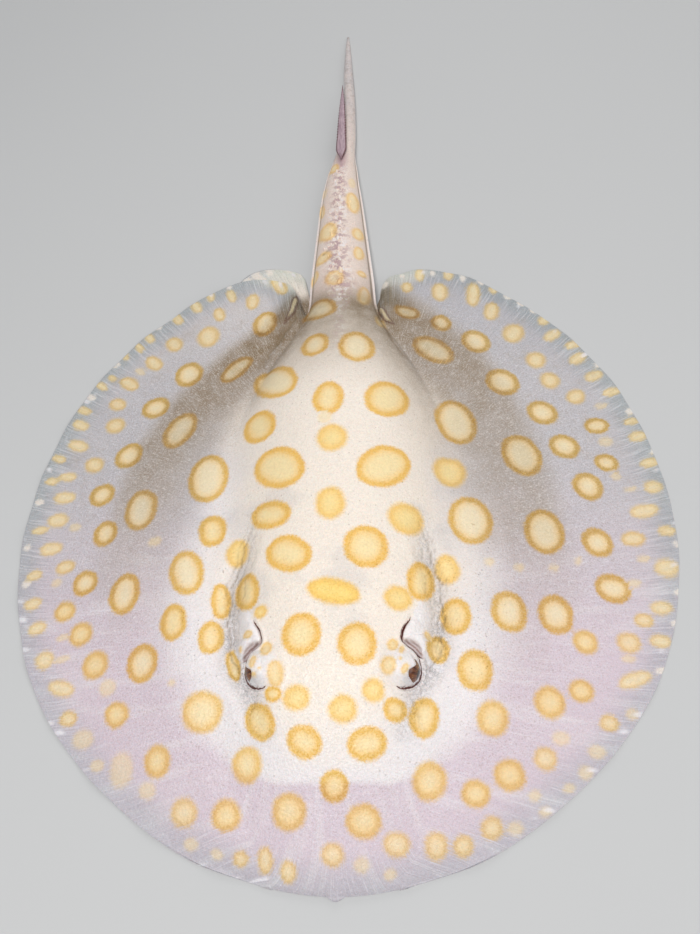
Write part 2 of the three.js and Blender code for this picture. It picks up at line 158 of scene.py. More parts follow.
# Ring depth, yellowness and strength of each kind of spot. A weak ring has a soft edge, and a
# yellowness below zero is white.
SPOT_KINDS = {
    "full": (1.0, 0.56, 1.0),
    "deep": (0.5, 1.0, 1.0),
    "solid": (0.5, 0.78, 1.0),
    "ring": (1.0, 0.12, 1.0),
    "dark": (1.0, 0.0, 0.95),
    "lid": (0.6, 0.66, 0.85),
    "front": (0.66, 0.5, 1.0),
    "soft": (0.5, 0.25, 0.95),
    "margin": (0.35, 0.12, 1.0),
    "faint": (0.15, 0.3, 0.62),
    "white": (0.0, -0.7, 0.85),
}
# Each spot is x, y, half length, half width, and the turn of its length from +X in degrees.
SPOTS = {
    "full": (
        (-3, 39.5, 8.4, 6, 90), (19.5, 41, 9.8, 8.2, 60), (-31, 33.5, 9, 6.8, 115),
        (-21, 10, 11.2, 8.4, 142), (18, 8.5, 11, 8.2, 40), (-23, -9.5, 7.9, 5.6, 165),
        (-15.5, -26, 8.6, 6.6, 155), (11.5, -24.5, 7.8, 7.6, 90), (-30.5, -37, 6.9, 4.8, 100),
        (-40.5, -38.5, 6.4, 3.4, 95), (30, -34.5, 7.1, 4.8, 80), (41.5, -45.7, 6.5, 5.3, 90),
        (-43, -51.7, 5.8, 4.5, 90), (-10.3, -54.4, 7.2, 6.8, 90),
        (8.3, -58, 7, 6.4, 90), (47, -64, 6.8, 6, 90), (35, -57, 4.6, 3.8, 80),
        (-34.5, -61.5, 5.5, 2.4, 110), (-24, -80.6, 6.4, 4.8, 125), (-19.4, -72.8, 2.8, 2.2, 0),
        (-9, -87.3, 5.8, 4.8, 160), (11, -88, 6.4, 5, 10), (0.3, -100, 4.6, 4.6, 0),
        (29.6, -79.6, 6.3, 4.8, 75),
        (-46.2, -10.4, 6.8, 5.4, 100), (-57.2, -45.4, 6.9, 5.1, 95), (20.2, -77.9, 3.8, 3.6, 0),
    ),
    "deep": (
        (0.5, -40.5, 9.6, 4.8, 168),
    ),
    "solid": (
        (-1, 20, 6.6, 6.2, 90), (-1, -8, 6.9, 5.8, 90),
        (-11.6, -74.3, 4.8, 4.4, 0), (3.5, -78, 5, 4.6, 0), (13.4, -72.3, 4, 4, 0),
        (25.5, -12, 6.7, 6.6, 90), (42.5, 12.5, 7.2, 6.8, 90), (39.5, -28.5, 5.8, 4.8, 100),
        (-35.5, -21, 5.6, 4.8, 90), (22, -42, 5.2, 4.6, 0), (-24.8, -45.4, 2.6, 2.6, 0),
    ),
    "lid": (
        (-18.5, -67, 4.2, 2.8, 90), (18.5, -65, 3.2, 2.8, 90), (-22, -58.5, 2.8, 2.2, 90),
        (20, -58, 2.4, 2, 90), (23.8, -66.2, 2, 1.3, 60), (22.4, -63, 0.9, 0.7, 90),
        (22.8, -59.7, 1.7, 1, 80), (-26.2, -63.2, 2.3, 1.3, 80), (-25.8, -67.2, 1.2, 0.8, 0),
        (-23.6, -65.4, 0.7, 0.6, 0), (-29.2, -52.6, 1.9, 1.5, 0), (-31.8, -56.8, 1.3, 0.8, 90),
        (32, -53.6, 2.2, 1.3, 125),
    ),
    "ring": (
        (46.3, 37.5, 11.4, 8, 105), (-50.6, 13.8, 11.2, 8.1, 93), (49, -8.5, 10.2, 8.1, 95),
        (-54.3, -26.8, 9.2, 6.6, 110), (-66, 70.2, 7.1, 6.4, 110), (-78.8, 53.8, 6.3, 5.8, 0),
        (-86.8, 30, 6.2, 6.2, 0), (-95.5, 12.5, 5.6, 5.3, 0), (-90.8, -5.6, 5.6, 5.2, 90),
        (-96, -25.4, 5.4, 5.2, 0), (-78.5, -31.9, 8.1, 6.2, 90), (-67.9, -58.5, 6.8, 6.1, 90),
        (76.6, -42.9, 7.1, 6.4, 90), (60, -43.5, 7.4, 6.4, 90), (99, -31.5, 6.8, 5.6, 0),
        (95.6, -13.8, 6, 5.9, 0), (76, -11.2, 9.3, 7.6, 90), (95.4, 10.2, 6.2, 6.1, 90),
        (71, 22.2, 9.8, 7.8, 105), (88.5, 28.1, 6.3, 5.9, 0), (81.7, 44.4, 6.4, 6.2, 0),
        (66.9, 59.6, 7.4, 6.8, 140), (57.5, 82.1, 6.9, 6, 120), (43.3, 93.4, 5.2, 4.4, 120),
        (-34.7, 97.2, 7.8, 5.4, 80), (-9.8, 71, 7, 6, 90), (7.5, 68.4, 9.3, 7.5, 90),
        (-26.3, 56.5, 13, 8, 131), (103.4, 39.8, 5.4, 3.8, 15), (104.6, 21.9, 4.9, 4.2, 0),
    ),
    "front": (
        (-102.9, -35.6, 4.7, 4.2, 0), (-94.5, -45.2, 5.1, 4.8, 0), (-86.8, -57.2, 5.6, 5.3, 0),
        (-76.4, -74.8, 5, 4.6, 0), (-60, -90.6, 5.3, 5.1, 90), (-44.4, -76.3, 7.5, 7, 0),
        (-28.4, -93.1, 5.8, 5.4, 90), (-14.4, -106.9, 5.9, 5.8, 0), (9.4, -109.8, 6, 5.3, 0),
        (-35.3, -107.5, 5.3, 5.1, 0), (30.6, -98.1, 6.2, 5.6, 50), (52, -79, 5.9, 5.5, 70),
        (71.6, -72.8, 5.7, 5.5, 0), (82.9, -68.5, 4.7, 4, 0), (56.5, -95.6, 5.6, 5, 0),
        (45.2, -101.4, 4.8, 4.4, 0), (86.2, -51.9, 4.8, 4.5, 0),
    ),
    "dark": (
        (-65.8, 39.6, 9.6, 6.6, 65), (-77, 2.8, 9.1, 6.9, 92), (-45, 70.6, 8.9, 4.4, 50),
        (39.1, 77.5, 10.4, 6.2, 138), (28.8, 100.6, 6, 3.9, 155), (-9.6, 96, 8.6, 7, 150),
    ),
    "soft": (
        (-102, 28.1, 5, 4, 150), (-96, 47.3, 5, 4.4, 150), (-97.3, 59.1, 4.8, 3.4, 145),
        (-60, 91.9, 7.1, 5.6, 105), (-75.9, 90.8, 5.6, 4, 125), (-84, 80.8, 6, 3.6, 130),
        (-93.8, 70.2, 6, 3.4, 140), (-56.4, 105.5, 5, 3, 110), (-41.5, 112.3, 5.6, 3.4, 90),
        (-29.8, 121.5, 7.4, 3.2, 120), (43.6, 113.3, 6.5, 4.1, 90), (28.9, 117, 3.8, 2.8, 90),
        (58.5, 111.3, 7.9, 3.6, 82), (65.9, 101.5, 6.3, 3.8, 75), (74.4, 88.8, 6.8, 5, 60),
        (82.5, 73.8, 5.4, 4.6, 60), (87.1, 62.5, 5, 4.6, 60), (96.9, 54.4, 4.9, 3.9, 40),
        (-106, -17.5, 4.4, 3.2, 0), (101.9, -50.9, 4.7, 4.1, 0), (108.8, -42.5, 3.9, 2.9, 0),
        (109.8, -10.9, 5.2, 3.3, 10), (-49.9, -106.3, 5, 4.7, 0), (91.6, -78.1, 3.6, 3, 0),
        (68.8, -90.3, 4.2, 3.9, 0), (-95.4, -74.8, 3.6, 3, 0), (19.6, -116, 4.6, 3.8, 0),
        (31.9, -116.3, 4.4, 4.1, 90), (40.6, -116.3, 3.6, 3.6, 0), (50, -111, 4, 3.8, 0),
        (-0.6, -119, 4, 3.8, 0), (-22.3, -120.4, 4, 2.8, 90), (-14.8, -123.8, 3.6, 3, 90),
        (-30.3, -120, 2.8, 2.6, 0), (16.9, 91.5, 5.5, 2.4, 90),
        (-3.2, 115.2, 5.4, 4.8, 90), (9.9, 104.8, 6.6, 3.2, 85), (-12.8, 121, 4.4, 2.2, 90),
        (-9, 131, 4.8, 4.2, 30), (7.4, 133, 4.8, 2.8, 90), (-7.3, 148.4, 6.9, 5.2, 90),
        (6.9, 146.7, 4.6, 3.1, 90), (4.2, 168.8, 7.9, 3.6, 95), (-10.8, 166.7, 5.6, 1.6, 95),
        (-5.5, 196, 4, 3, 90), (8.8, 119.3, 2.4, 2, 0),
    ),
    "margin": (
        (-111.6, 39.2, 5.7, 3.1, 155), (-119.2, 33.8, 3.8, 2, 155), (-113.2, 24, 4.6, 2.4, 170),
        (-119.9, 22.5, 3.4, 2, 170), (-112.6, 14, 5.4, 3.2, 170), (-113.5, 3.8, 5.2, 3.6, 170),
        (-120.5, 0, 3.8, 2, 0), (-113.9, -8.8, 5.4, 3.2, 0), (-119.1, -19.4, 3.6, 2.4, 5),
        (-117.2, -31.2, 4, 2.6, 10), (-113.5, -40.9, 4.2, 3, 10), (-108.1, -53.4, 4.2, 3.8, 0),
        (-99.7, -64.1, 6, 3, 165), (-112.5, 50, 4.6, 2.8, 150), (-112.5, 57.8, 4.2, 2.2, 150),
        (-106.6, 70.5, 3.8, 2, 140), (-102.5, 74.4, 2.8, 1.6, 135), (-92.5, 91, 3.6, 1.8, 125),
        (-88.5, 96.5, 3.8, 2.2, 120), (-77, 107.3, 5.4, 2.6, 125), (-68.2, 112.5, 5, 2.6, 120),
        (-61.9, 118, 4, 2.2, 105), (-51.9, 117, 4.8, 2.2, 110), (-98.8, 87.5, 3.4, 1.6, 125),
        (91.5, 89, 5, 3, 40), (89, 98.2, 3.8, 2.6, 45), (100, 83.5, 4.8, 2.2, 25),
        (100.6, 75.9, 4.8, 2.8, 35), (106.3, 66.3, 4.8, 3, 30), (112.3, 57.8, 4.6, 2.2, 20),
        (118, 43, 3.6, 2, 15), (119.5, 35.4, 4.3, 2.6, 15), (122.2, 23.4, 4.4, 2.4, 15),
        (121.5, 12, 4.2, 3.2, 5), (116.2, 1.3, 6.4, 3.2, 15), (123.4, -6.6, 4, 2.4, 0),
        (120.5, -21.9, 5.2, 4.2, 0), (116, -37.5, 4.6, 3, 0), (113.6, -49.8, 4.4, 2.6, 175),
        (102.5, -63.5, 6.6, 3, 20), (48, 124.5, 3.8, 2.6, 90), (35, 124.6, 4.2, 2.4, 90),
        (68, 116, 3, 2.2, 80),
    ),
    "faint": (
        (-105, -0.6, 3, 2, 170), (-69, -12, 3, 2.4, 0), (-102, -45.6, 3, 1.6, 10),
        (-101, -53.7, 3.5, 1.5, 10), (-108.6, -23.7, 2.5, 2, 0), (-80.8, -65.5, 3.8, 3.4, 0),
        (106, 32.2, 3.6, 2.6, 15), (107.5, 16, 2.6, 2, 0), (112.5, 10.6, 3.5, 1.4, 5),
        (112.5, -18.8, 3, 1.6, 0), (54.4, -25.4, 2, 2, 0), (65, -26.5, 2.2, 2.2, 0),
        (77.8, -25.6, 2, 1.8, 0), (107.5, -28.7, 3, 1.8, 0), (101.2, -56.6, 3, 1.6, 0),
        (106.9, 50.3, 3.4, 1.6, 20), (-90, 76.9, 3.4, 1.8, 135), (8.5, -121.9, 3, 2.6, 0),
        (-38.4, -118.5, 2.4, 1.8, 0), (-47.3, -115.6, 2.8, 2.2, 0), (17.3, -124.4, 2.4, 2, 0),
        (57.5, -111, 3, 2.4, 0), (-73.3, -92.5, 6.2, 5, 90), (-88.9, -81.9, 4.6, 3.6, 0),
        (-63.3, -99.4, 3.6, 3, 0), (-82.6, -90.6, 3, 2.4, 0), (-55.8, -66.3, 1.6, 1.4, 0),
        (86.3, -87.5, 3.4, 2.6, 0), (74.4, -83.8, 3.4, 2.6, 0), (81.9, -94, 2.8, 2.4, 0),
        (75.9, -98.8, 2.4, 1.8, 0), (67.5, -106, 2.4, 1.8, 0), (64.4, -101.3, 2.4, 2, 0),
        (100, -75, 2.6, 2.4, 0), (-10, 180, 4, 1.6, 95), (3.7, 184, 4, 2, 90), (-4, 30, 3.6, 3, 90),
        (87, -22, 1.6, 2, 0),
    ),
    "white": (
        (-123.8, 13.4, 1.8, 1.3, 0), (-124.6, -7.1, 1.4, 1.4, 0), (-121.6, -22.8, 1.6, 1.4, 0),
        (-111, 65, 2.6, 1.4, 145), (-102.6, 82.6, 2.4, 1.6, 135), (-86, 103.6, 2.4, 1.8, 130),
        (-80, 108.6, 2, 1.4, 120), (-53.5, 122.6, 1.4, 1.2, 90), (85, 104.4, 2.2, 1.8, 60),
        (108.6, 72.5, 1.8, 1.2, 20), (62.4, 119.4, 1.6, 1.4, 60), (74.4, 112.4, 2.2, 2, 50),
        (80, 108.2, 2.2, 1.8, 50), (41, 125.4, 1.9, 0.9, 90), (27, 124.4, 1.6, 0.8, 90),
        (54.4, 122.2, 2.6, 1.2, 80), (19, 117.6, 2.2, 1.4, 80), (124.6, 28.5, 1.4, 0.9, 0),
        (126, -12.2, 1.4, 1.2, 0), (123.4, -31.2, 1.5, 1, 0), (119.6, -43.1, 1.2, 1, 0),
        (112.4, -60, 2, 1, 20), (119, 48.5, 2.4, 1.4, 20),
    ),
}
PELVIC_SPOTS = (
    (-41.9, 133.3, 2.6, 1.6, 100), (-35.6, 134, 2.4, 1.4, 100), (-45.6, 128.8, 3.4, 2.4, 110),
    (-38.5, 128.8, 2.6, 2, 100), (-26, 134, 1.8, 1, 0), (-20.5, 131, 1.8, 1, 40), (-49, 121, 3, 2, 100),
    (36, 128, 2.6, 1.6, 80), (44, 122, 3, 2, 70), (28, 126, 2.4, 1.8, 90),
)
# Half width of the pale area over head and trunk, and of its whitest border, along Y.
PALE_AREA = (
    (-102, 2), (-100, 14), (-96, 24), (-88, 35), (-78, 44), (-66, 50), (-48, 55), (-20, 53), (10, 47),
    (40, 38), (60, 28), (78, 19), (95, 15), (112, 15), (125, 30),
)
# Brown slopes beside the trunk, partly skin colour and partly painted shade: points from the rear,
# half width outwards, depth at the rear and in front. Inwards they are wider and fade out more slowly.
SLOPES = (
    (((-17, 106), (-28, 90), (-43, 75), (-60, 55), (-73, 32), (-79, 8), (-82, -24)), 15, 1.0, 0.36),
    (((17, 104), (29, 93), (45, 74), (57, 52), (66, 22), (71, -12), (72, -32)), 20, 0.9, 0.27),
    (((19, 98), (25, 80), (29, 58)), 8, 0.85, 0.3),
    (((-20, 98), (-25, 84), (-31, 62)), 8, 0.6, 0.3),
)
# Thin raised folds where the tail meets the disc. The shader paints a dark line of shade on each
# side and a pale ochre top, partly painted highlight.
ROOT_FOLDS = (((-21, 113), (-22.5, 103), (-29, 90)), ((16.2, 104), (19.5, 96.5), (25.5, 90.5)))
# Folds of the skin, from the rear forwards: points, half width, depth, darkness, which is painted
# shade in the fold. A depth below zero is a ridge. The folds of the head are on both sides.
HEAD_FOLDS = (
    (((30, -10), (33.3, -22), (37, -35), (37.4, -48), (36, -57), (31.5, -66)), 0.75, 0.9, 0.9),
    (((28.5, -14), (32, -27), (35.3, -38), (35.7, -50), (34, -58)), 0.6, 0.5, 0.55),
    (((32, -12), (35, -21), (38.8, -34), (39, -46)), 0.6, 0.35, 0.45),
    (((27, -20), (31, -33), (33.6, -44), (33.4, -52)), 0.55, 0.35, 0.45),
    (((24, -72), (27.5, -77), (29, -84)), 0.9, 0.3, 0.25),
)
REAR_FOLDS = (
    (((-20, 104), (-24.5, 94), (-29, 86), (-36, 68)), 1.9, 1.8, 1.0),
    (((15, 103), (17, 94), (20, 86), (27, 70)), 1.7, 1.5, 0.9),
    (ROOT_FOLDS[0], 1.0, -0.9, 0.0),
    (ROOT_FOLDS[1], 0.9, -1.0, 0.0),
    (((-9.5, 133.2), (-5.5, 135)), 0.9, 0.7, 0.9),
    (((6.8, 118.6), (10.8, 118.2)), 0.9, 0.7, 0.9),
)
# The slit of the left spiracle, from its rear end round the back of the eye. The right one lies
# a little further out.
SPIRACLE_POINTS = (
    (26.6, -46.8), (25.2, -49.2), (23.8, -51.4), (22.9, -53.9), (22.9, -56.0), (24.4, -57.3),
    (26.5, -58.6), (28.4, -60.6), (30.4, -61.8),
)
RIGHT_SPIRACLE_SHIFT = 1.2
# How much further out and further back the right eye lies than the left one.
RIGHT_EYE_SHIFT = (0.8, 0.6)
# How far out the upper lid reaches over the eye, from front to rear.
LID_EDGE = (
    (-6, 3.4), (-4.8, 3.3), (-3.4, 2.2), (-1.6, 2.3), (-0.5, 3.7), (0.7, 4.6), (1.8, 4.2),
    (3.2, 3.4), (4.6, 2.4), (6, 0.8),
)


# ---------------------------------------------------------------- curves and bumps

def curve(rows, at):
    """The smooth curve through rows of (place, value), read at many places."""
    places, values = np.array(rows, float).T
    at = np.clip(at, places[0], places[-1])
    i = np.clip(np.searchsorted(places, at, side="right") - 1, 0, len(places) - 2)
    before = np.maximum(i - 1, 0)
    after = np.minimum(i + 2, len(places) - 1)
    span = places[i + 1] - places[i]
    leaving = (values[i + 1] - values[before]) / (places[i + 1] - places[before]) * span
    arriving = (values[after] - values[i]) / (places[after] - places[i]) * span
    t = (at - places[i]) / span
    turn = t * t * (3 - 2 * t)
    tangents = leaving * t * (1 - t) ** 2 - arriving * t * t * (1 - t)
    return values[i] * (1 - turn) + values[i + 1] * turn + tangents


def step(low, high, at):
    """Rises smoothly from 0 at low to 1 at high."""
    t = np.clip((at - low) / (high - low), 0, 1)
    return t * t * (3 - 2 * t)


def bump(distance, half_width):
    """A soft bump, 1 in the middle and 0 from one half width outwards."""
    t = np.clip(np.abs(distance) / half_width, 0, 1)
    return (1 - t * t) ** 2


def beside(chain, x, y):
    """Distance from a chain of straight stretches, minus on its left, and share along it."""
    nearest = np.full(np.shape(x), 1e9)
    signed = np.zeros(np.shape(x))
    share = np.zeros(np.shape(x))
    for i, ((ax, ay), (bx, by)) in enumerate(zip(chain, chain[1:])):
        dx, dy = bx - ax, by - ay
        t = np.clip(((x - ax) * dx + (y - ay) * dy) / (dx * dx + dy * dy), 0, 1)
        away = np.hypot(x - ax - t * dx, y - ay - t * dy)
        closer = away < nearest
        side = np.sign((x - ax) * -dy + (y - ay) * dx)
        nearest = np.where(closer, away, nearest)
        signed = np.where(closer, away * side, signed)
        share = np.where(closer, (i + t) / (len(chain) - 1), share)
    return signed, share


def turned(x, y, row):
    """Place in the frame of an ellipse, as shares of its half length and half width."""
    cx, cy, long, short, turn = row[:5]
    a = math.radians(turn)
    u = ((x - cx) * math.cos(a) + (y - cy) * math.sin(a)) / long
    v = ((y - cy) * math.cos(a) - (x - cx) * math.sin(a)) / short
    return u, v


def by_length(points):
    """A smooth rim through points, as a function of the share of its length."""
    index = np.linspace(0, len(points) - 1, 40 * len(points))
    x = curve([(i, p[0]) for i, p in enumerate(points)], index)
    y = curve([(i, p[1]) for i, p in enumerate(points)], index)
    length = np.concatenate(([0], np.cumsum(np.hypot(np.diff(x), np.diff(y)))))

    def rim(share):
        at = np.asarray(share) * length[-1]
        return np.interp(at, length, x), np.interp(at, length, y)

    return rim, length[-1]


LEFT_RIM, RIM_LENGTH = by_length(MARGIN + LEFT_CORNER)
RIGHT_RIM = by_length(MARGIN + RIGHT_CORNER)[0]
SPIRACLE = np.stack(by_length(SPIRACLE_POINTS)[0](np.linspace(0, 1, 33)), 1)


# ---------------------------------------------------------------- the animal's surface

def fin_lift(x, y):
    """How far the pelvic fins lift the rear corners of the disc."""
    return 3.1 * step(54, 74, y) * (1 - step(53, 84, np.abs(x)))


def corner_roll(x, y):
    ridge = np.where(x > 0, 20.6, 23)
    return 2.6 * bump(np.abs(x) - ridge, 7) * step(92, 106, y)


def broad_relief(x, y):
    """Eye mounds, the furrows outside the skull and the fins' muscle."""
    side = np.abs(x)
    mound = 4.2 * bump(np.hypot(side - EYE.x, y - EYE.y), 9.5)
    away, along = beside(TROUGH, side, y)
    trough = 3.2 * bump(away, 7.2) * np.sin(np.pi * along)
    shoulder = 1.8 * bump(side - 52, 18) * bump(y + 40, 55)
    return mound - trough + shoulder


def eye_place(x, y):
    """Distance from the eye's middle and outside the upper lid, and two directions from it."""
    dx = np.abs(x) - EYE.x - RIGHT_EYE_SHIFT[0] * (x < 0)
    dy = y - EYE.y - RIGHT_EYE_SHIFT[1] * (x < 0)
    edge = curve(LID_EDGE, dy) + 0.7 * (x < 0)
    dy = dy * np.where(dy > 0, 0.88, 1)
    far = np.hypot(dx, dy)
    outward = (dx - 0.25 * dy) / np.maximum(far, 0.1)
    forward = (0.45 * dx - 0.9 * dy) / np.maximum(far, 0.1)
    return far, dx - edge, outward, forward


def spiracle_place(x, y):
    """Distance outwards from the slit, its fading ends, the slit's width and the share along it."""
    away, along = beside(SPIRACLE, np.abs(x) - RIGHT_SPIRACLE_SHIFT * (x < 0), y)
    ends = step(0, 0.14, along) * (1 - step(0.88, 1, along))
    width = 0.75 + 2.4 * bump(along - 0.73, 0.3)
    return away, ends, width, along


def eye_relief(x, y, top, sizes):
    """Upper lids drawn over the eyeballs, the creases round them, and the spiracles."""
    away, ends, width, along = spiracle_place(x, y)
    drop = step(-0.35, 0.3, away) * (1 - step(0.3, 1, away / width))
    drop = drop * (0.4 + 0.6 * bump(along - 0.73, 0.4))
    flap = bump(away - width - 1.9, 2.7)
    lip = bump(away + 0.8, 0.8)
    top = top + ends * (0.4 * lip + 0.8 * flap - sizes.spiracle_depth / MM * drop)

    far, outside, outward, _ = eye_place(x, y)
    ahead = step(-0.2, 0.3, outward)
    top = top - (1.1 * bump(far - 6.5, 0.9) - 0.45 * bump(far - 7.8, 0.9)) * ahead
    shell = EYE.z + np.sqrt(np.clip((EYE_RADIUS + 0.45) ** 2 - far ** 2, 0, None))
    shell = shell + 0.22 * bump(outside + 0.5, 0.6)
    covered = (far < EYE_RADIUS + 0.45) * (1 - step(-0.1, 0.4, outside))
    return top + covered * np.clip(shell - top, 0, None)


def folds(x, y):
    """Depth of the skin folds, and the painted shade that darkens them."""
    depth = np.zeros(np.shape(x))
    dark = np.zeros(np.shape(x))
    for rows, across in ((HEAD_FOLDS, np.abs(x)), (REAR_FOLDS, x)):
        for points, width, deep, shade in rows:
            wander = 0.45 * np.sin(0.5 * y + 3 * width) + 0.25 * np.sin(1.4 * y + 9 * width)
            away, along = beside(points, across + wander, y)
            ends = np.sin(np.pi * np.clip(along, 0, 1)) ** 0.6
            depth = depth + deep * bump(away, width) * ends
            dark = dark + shade * bump(away, 0.8 * width) * ends
    return depth, dark


def tail_relief(x, y):
    """Low knobs along the tail's midline."""
    knobs = np.sin(1.9 * y + 1.3 * np.sin(0.9 * x)) * np.sin(1.35 * x + 0.6 * np.sin(0.7 * y) + 0.4)
    return 0.38 * knobs * tail_band(x, y)


def tail_band(x, y):
    middle = x + 2.4 * step(104, 130, y)
    wide = 4 + 5 * step(90, 112, y) - 4 * step(120, 200, y)
    strength = 0.35 * step(58, 76, y) + 0.65 * step(92, 112, y)
    return bump(middle, wide) * strength * (1 - step(194, 206, y))


def under_relief(x, y):
    """Height of the mouth, nostrils, gill slits and vent in the underside."""
    side = np.abs(x)
    swell = np.cos(np.pi * np.clip(x / 21, -0.5, 0.5))
    from_mouth = y + 80 - 3 * swell
    gap = bump(from_mouth, 0.7 + 1.0 * swell) * (side < 10.5)
    moat = bump(np.hypot(x / 1.9, from_mouth), 7.5) * (1 - bump(np.hypot(x / 2.4, from_mouth), 4.4))
    height = 1.7 * gap + 0.9 * moat
    u, v = turned(side, y, (9, -90, 4.4, 1.4, 34))
    height = height + 1.5 * bump(np.hypot(u, v), 1)
    for i in range(5):
        t = i / 4
        u, v = turned(side, y, (34 - 10 * t, -58 + 41 * t, 4.8, 1.2, math.degrees(0.25 - 0.6 * t)))
        height = height + 1.3 * bump(np.hypot(u, v + 0.15 * u * u), 1)
    return height + 1.5 * bump(np.hypot(x, (y - 88) / 3.8), 1.7)


def skin_place(column, row, level, sizes):
    """Where points of the skin lie, from column, row and level, which is 0 below and 1 above."""
    half = BODY_COLUMNS / 2
    across = column - FIN_COLUMNS - half
    side = np.where(across < 0, -1.0, 1.0)
    t = side * np.interp(np.abs(across) / half, *BODY_SPREAD)
    out = np.interp((np.abs(across) - half) / FIN_COLUMNS, *FIN_SPREAD)
    y = np.interp(row, *ROW_SPREAD)
    turn = 2 * level - 1
    pulled = 1 - np.sqrt(np.clip(1 - turn * turn, 0, 1))
    coat = sizes.coat_depth / MM

    width = curve(HALF_WIDTH, y)
    side_top = curve(SIDE_HEIGHT, y)
    side_under = curve(SIDE_UNDER, y)
    rounded = np.clip(np.abs(t) / (1 - curve(FOLD_SHARE, y)), 0, 1)
    fall = (1 - rounded ** curve(BACK_SQUARENESS, y)) ** curve(BACK_ROUNDING, y)
    on_tail = step(TAIL_ROOT_Y, TAIL_ROOT_Y + 8, y)
    body_x = curve(SWAY, y) + (width - on_tail * (coat + 0.15 * pulled * (np.abs(t) > 0.99))) * t
    bow = 2.2 * (1 - t * t) * (1 - step(SNOUT_Y, -110, y))
    knob = 1.4 * bump(body_x, 3.4) * (1 - step(SNOUT_Y, -121, y))
    body_top = side_top + (curve(BACK_HEIGHT, y) - side_top) * fall
    body_under = side_under * (1.05 * (1 - (1 - rounded ** 3) ** 0.6) - 0.05)
    body_y = y - bow - knob + (coat + 0.4 * pulled) * (row == 0)

    share = np.clip((y - SNOUT_Y) / (TAIL_ROOT_Y - SNOUT_Y), 0, 1)
    (lx, ly), (rx, ry) = LEFT_RIM(share), RIGHT_RIM(share)
    rim_x, rim_y = np.where(side > 0, lx, rx), np.where(side > 0, ly, ry)
    reach = np.hypot(rim_x - width, rim_y - y)
    spread = out * (1 - (coat + 0.45 * pulled * (out > 0.99)) / reach)
    fin_x = side * (width + (rim_x - width) * spread)
    fin_y = y + (rim_y - y) * spread
    lift = fin_lift(fin_x, fin_y)
    fin_top = EDGE_THICKNESS + lift + (side_top - EDGE_THICKNESS - lift) * curve(FIN_FALL, out)
    fin_top = fin_top + corner_roll(fin_x, fin_y)
    arch = 2 * np.sin(np.pi * out) ** 2 * step(0, 0.25, share) * (1 - step(0.6, 0.8, share))
    fin_under = lift + np.clip(side_under - lift, 0, None) * (1 - step(0, 0.3, out)) + arch

    fin = out > 0
    x = np.where(fin, fin_x, body_x)
    y = np.where(fin, fin_y, body_y)
    top = np.where(fin, fin_top, body_top) + broad_relief(x, y)
    top = eye_relief(x, y, top, sizes) + tail_relief(x, y) - coat
    top = top - sizes.fold_depth / MM * folds(x, y)[0]
    under = np.where(fin, fin_under, np.clip(body_under, 0, None)) + under_relief(x, y) * (1 - fin)
    ripple = 0.35 * np.sin(0.23 * share * RIM_LENGTH + 2 * side) * step(0.8, 1, out)
    top = top + ripple
    under = np.maximum(under + 0.4 * coat + np.clip(ripple, 0, None), 0.1)
    middle, thick = 0.5 * (top + under), np.maximum(0.5 * (top - under), 0.05)
    z = middle + thick * turn * (1.5 - 0.5 * turn * turn)
    rays = np.where(fin, side, t) * (20 + share * RIM_LENGTH)
    return x, y, z, rays, t, out


def margin_distance(x, y, on_fin):
    """Distance to the rim of the disc; the tail and the rear of the trunk count as far from it."""
    front = [(0.5 * i, SNOUT_Y - 2.2 * (1 - (i / 40) ** 2)) for i in range(-40, 41)]
    shares = np.linspace(0, 0.985, 700)
    rims = [front, np.stack(LEFT_RIM(shares), 1), np.stack(RIGHT_RIM(shares), 1) * (-1, 1)]
    points = np.concatenate(rims)
    tree = kdtree.KDTree(len(points))
    for i, (px, py) in enumerate(points):
        tree.insert((px, py, 0), i)
    tree.balance()
    away = np.array([tree.find((px, py, 0))[2] for px, py in zip(x, y)])
    return np.where(on_fin, away, away + 60 * step(50, 85, y))


# ---------------------------------------------------------------- markings

def nearest_spot(x, y, rows_by_kind):
    """Signed distance in mm from the edge of the nearest spot, and that spot's kind.

    Inside small spots the distance counts for more, so that they get a pale centre too.
    """
    edge = np.full(np.shape(x), 30.0)
    kind = np.zeros((3, *np.shape(x)))
    for name, rows in rows_by_kind.items():
        for row in rows:
            u, v = turned(x, y, row)
            r = np.hypot(u, v)
            slope = np.hypot(u / row[2], v / row[3])
            distance = np.where(r > 0.25, (r - 1) * r / np.maximum(slope, 1e-6), (r - 1) * row[3])
            deeper = np.clip((5.5 / row[3]) ** 0.8, 1, 2.5)
            distance = np.where(distance < 0, deeper * distance, distance)
            closer = distance < edge
            edge = np.where(closer, distance, edge)
            kind = np.where(closer, np.array(SPOT_KINDS[name]).reshape(3, 1), kind)
    return edge, kind


